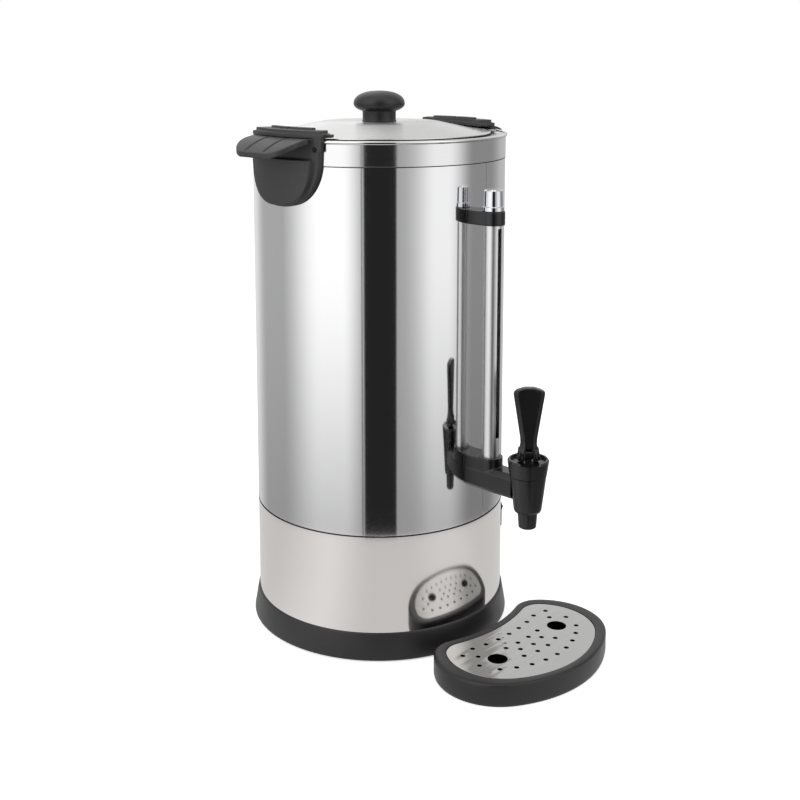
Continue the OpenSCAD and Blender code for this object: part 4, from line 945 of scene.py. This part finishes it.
def flagged(tree, turn, height):
    """1 where the black flag and its strip hang, and 0 outside them."""
    wide = between(tree, turn, FLAG[0], FLAG[1], FLAG[2], FLAG[2])
    strip = between(tree, turn, FLAG_STRIP[0], FLAG_STRIP[1], FLAG_STRIP[2], FLAG_STRIP[2])
    both = add(tree, "ShaderNodeMath", {0: wide, 1: strip}, operation="MAXIMUM")
    begins, full = (math.sin(math.radians(elevation)) for elevation in FLAG_TOP)
    under = add(tree, "ShaderNodeMapRange", interpolation_type="SMOOTHSTEP",
                inputs={"Value": height, "From Min": begins, "From Max": full})
    return add(tree, "ShaderNodeMath", {0: both, 1: under}, operation="MULTIPLY")


def studio():
    """White for the camera. Steel mirrors two soft boxes, the darker sides of the room and a black flag."""
    world = bpy.data.worlds.new("studio")
    bpy.context.scene.world = world
    world.use_nodes = True
    tree = world.node_tree
    tree.nodes.clear()
    way = add(tree, "ShaderNodeTexCoord").outputs["Generated"]
    turn = turn_of(tree, way)
    height = add(tree, "ShaderNodeSeparateXYZ", {0: way}).outputs["Z"]
    sunk = add(tree, "ShaderNodeMapRange", interpolation_type="SMOOTHSTEP",
               inputs={"Value": height, "From Min": LOW_EDGE[0], "From Max": LOW_EDGE[1]})
    over = add(tree, "ShaderNodeMath", {0: 1.0, 1: sunk}, operation="SUBTRACT")
    lights = lit_by(tree, turn, SOFT_BOXES, 0.0)
    boxes = add(tree, "ShaderNodeMath", {0: lights, 1: over}, operation="MULTIPLY")
    dim = add(tree, "ShaderNodeMath", {0: sunk, 1: -LOW_DIM, 2: 1.0}, operation="MULTIPLY_ADD")
    sides = lit_by(tree, turn, ROOM, ROOM_LEVEL)
    room = add(tree, "ShaderNodeMath", {0: sides, 1: dim, 2: boxes}, operation="MULTIPLY_ADD")
    high = add(tree, "ShaderNodeMapRange", interpolation_type="SMOOTHSTEP",
               inputs={"Value": height, "From Min": CEILING_EDGE[0], "From Max": CEILING_EDGE[1]})
    room = add(tree, "ShaderNodeMath", {0: high, 1: CEILING, 2: room}, operation="MULTIPLY_ADD")
    flag = flagged(tree, turn, height)
    mirrored = add(tree, "ShaderNodeMix", {"Factor": flag, "A": room, "B": FLAG_LEVEL})
    path = add(tree, "ShaderNodeLightPath").outputs
    lit = add(tree, "ShaderNodeMix", {"Factor": path["Is Glossy Ray"], "A": FILL_LEVEL, "B": mirrored})
    straight = add(tree, "ShaderNodeMath", operation="MAXIMUM",
                   inputs={0: path["Is Camera Ray"], 1: path["Is Transmission Ray"]})
    seen = add(tree, "ShaderNodeMix", {"Factor": straight, "A": lit, "B": 1.0})
    sky = add(tree, "ShaderNodeBackground", {"Color": WHITE, "Strength": seen})
    add(tree, "ShaderNodeOutputWorld", {"Surface": sky})


def floor():
    """A white floor that keeps the urn's shadow."""
    bpy.ops.mesh.primitive_plane_add(size=FLOOR_SIZE, location=(0, 0, FLOOR_Z))
    ground = bpy.context.object
    ground.name = "floor"
    material, tree = node_material("white_floor")
    paint = add(tree, "ShaderNodeBsdfPrincipled",
                {"Base Color": colour("#f2f2f2"), "Roughness": 0.9, "Specular IOR Level": 0.0})
    path = add(tree, "ShaderNodeLightPath").outputs
    glow = add(tree, "ShaderNodeMath", {0: path["Is Camera Ray"], 1: FLOOR_GLOW}, operation="MULTIPLY")
    light = add(tree, "ShaderNodeEmission", {"Color": WHITE, "Strength": glow})
    both = add(tree, "ShaderNodeAddShader", {0: paint, 1: light})
    add(tree, "ShaderNodeOutputMaterial", {"Surface": both})
    ground.data.materials.append(material)
    ground.visible_glossy = False


def table():
    """The round table top the lower band mirrors: a glowing disc with painted pools of light. Only
    reflections see it.
    """
    middle = FACING * TABLE_OUT + Vector((0, 0, TABLE_Z))
    bpy.ops.mesh.primitive_circle_add(vertices=TABLE_STEPS, radius=TABLE_R, fill_type="NGON", location=middle)
    top = bpy.context.object
    top.name = "table_top"
    material, tree = node_material("table_painted_light")
    place = add(tree, "ShaderNodeNewGeometry").outputs["Position"]
    level = lit_by(tree, turn_of(tree, place), TABLE_LIGHT, TABLE_LEVEL)
    light = add(tree, "ShaderNodeEmission", {"Color": WHITE, "Strength": level})
    add(tree, "ShaderNodeOutputMaterial", {"Surface": light})
    top.data.materials.append(material)
    top.visible_camera = False
    top.visible_diffuse = False
    top.visible_shadow = False
    top.visible_transmission = False


def lamp(name, at, to, size, power):
    """A square soft lamp. It lights and shades, and leaves the mirrors to the soft boxes."""
    light = bpy.data.lights.new(name, "AREA")
    light.size = size
    light.energy = power
    made = bpy.data.objects.new(name, light)
    bpy.context.scene.collection.objects.link(made)
    made.location = at
    made.rotation_euler = (Vector(to) - Vector(at)).to_track_quat("-Z", "Y").to_euler()
    made.visible_glossy = False


studio()
floor()
table()
lamp("top_lamp", at=(-0.2, -0.3, 2.2), to=(0, 0, 0.2), size=1.6, power=16)
lamp("left_lamp", at=(-1.7, 0.2, 1.1), to=(0, 0, 0.3), size=1.0, power=8)

camera = bpy.data.cameras.new("camera")
camera.sensor_width = SENSOR
camera.lens = CAMERA_LENS
camera.shift_y = CAMERA_SHIFT
viewpoint = bpy.data.objects.new("camera", camera)
bpy.context.scene.collection.objects.link(viewpoint)
viewpoint.location = CAMERA_AT
viewpoint.rotation_euler = (math.radians(CAMERA_TILT), 0, math.radians(CAMERA_TURN))
bpy.context.scene.camera = viewpoint
bpy.context.scene.view_settings.view_transform = "Standard"
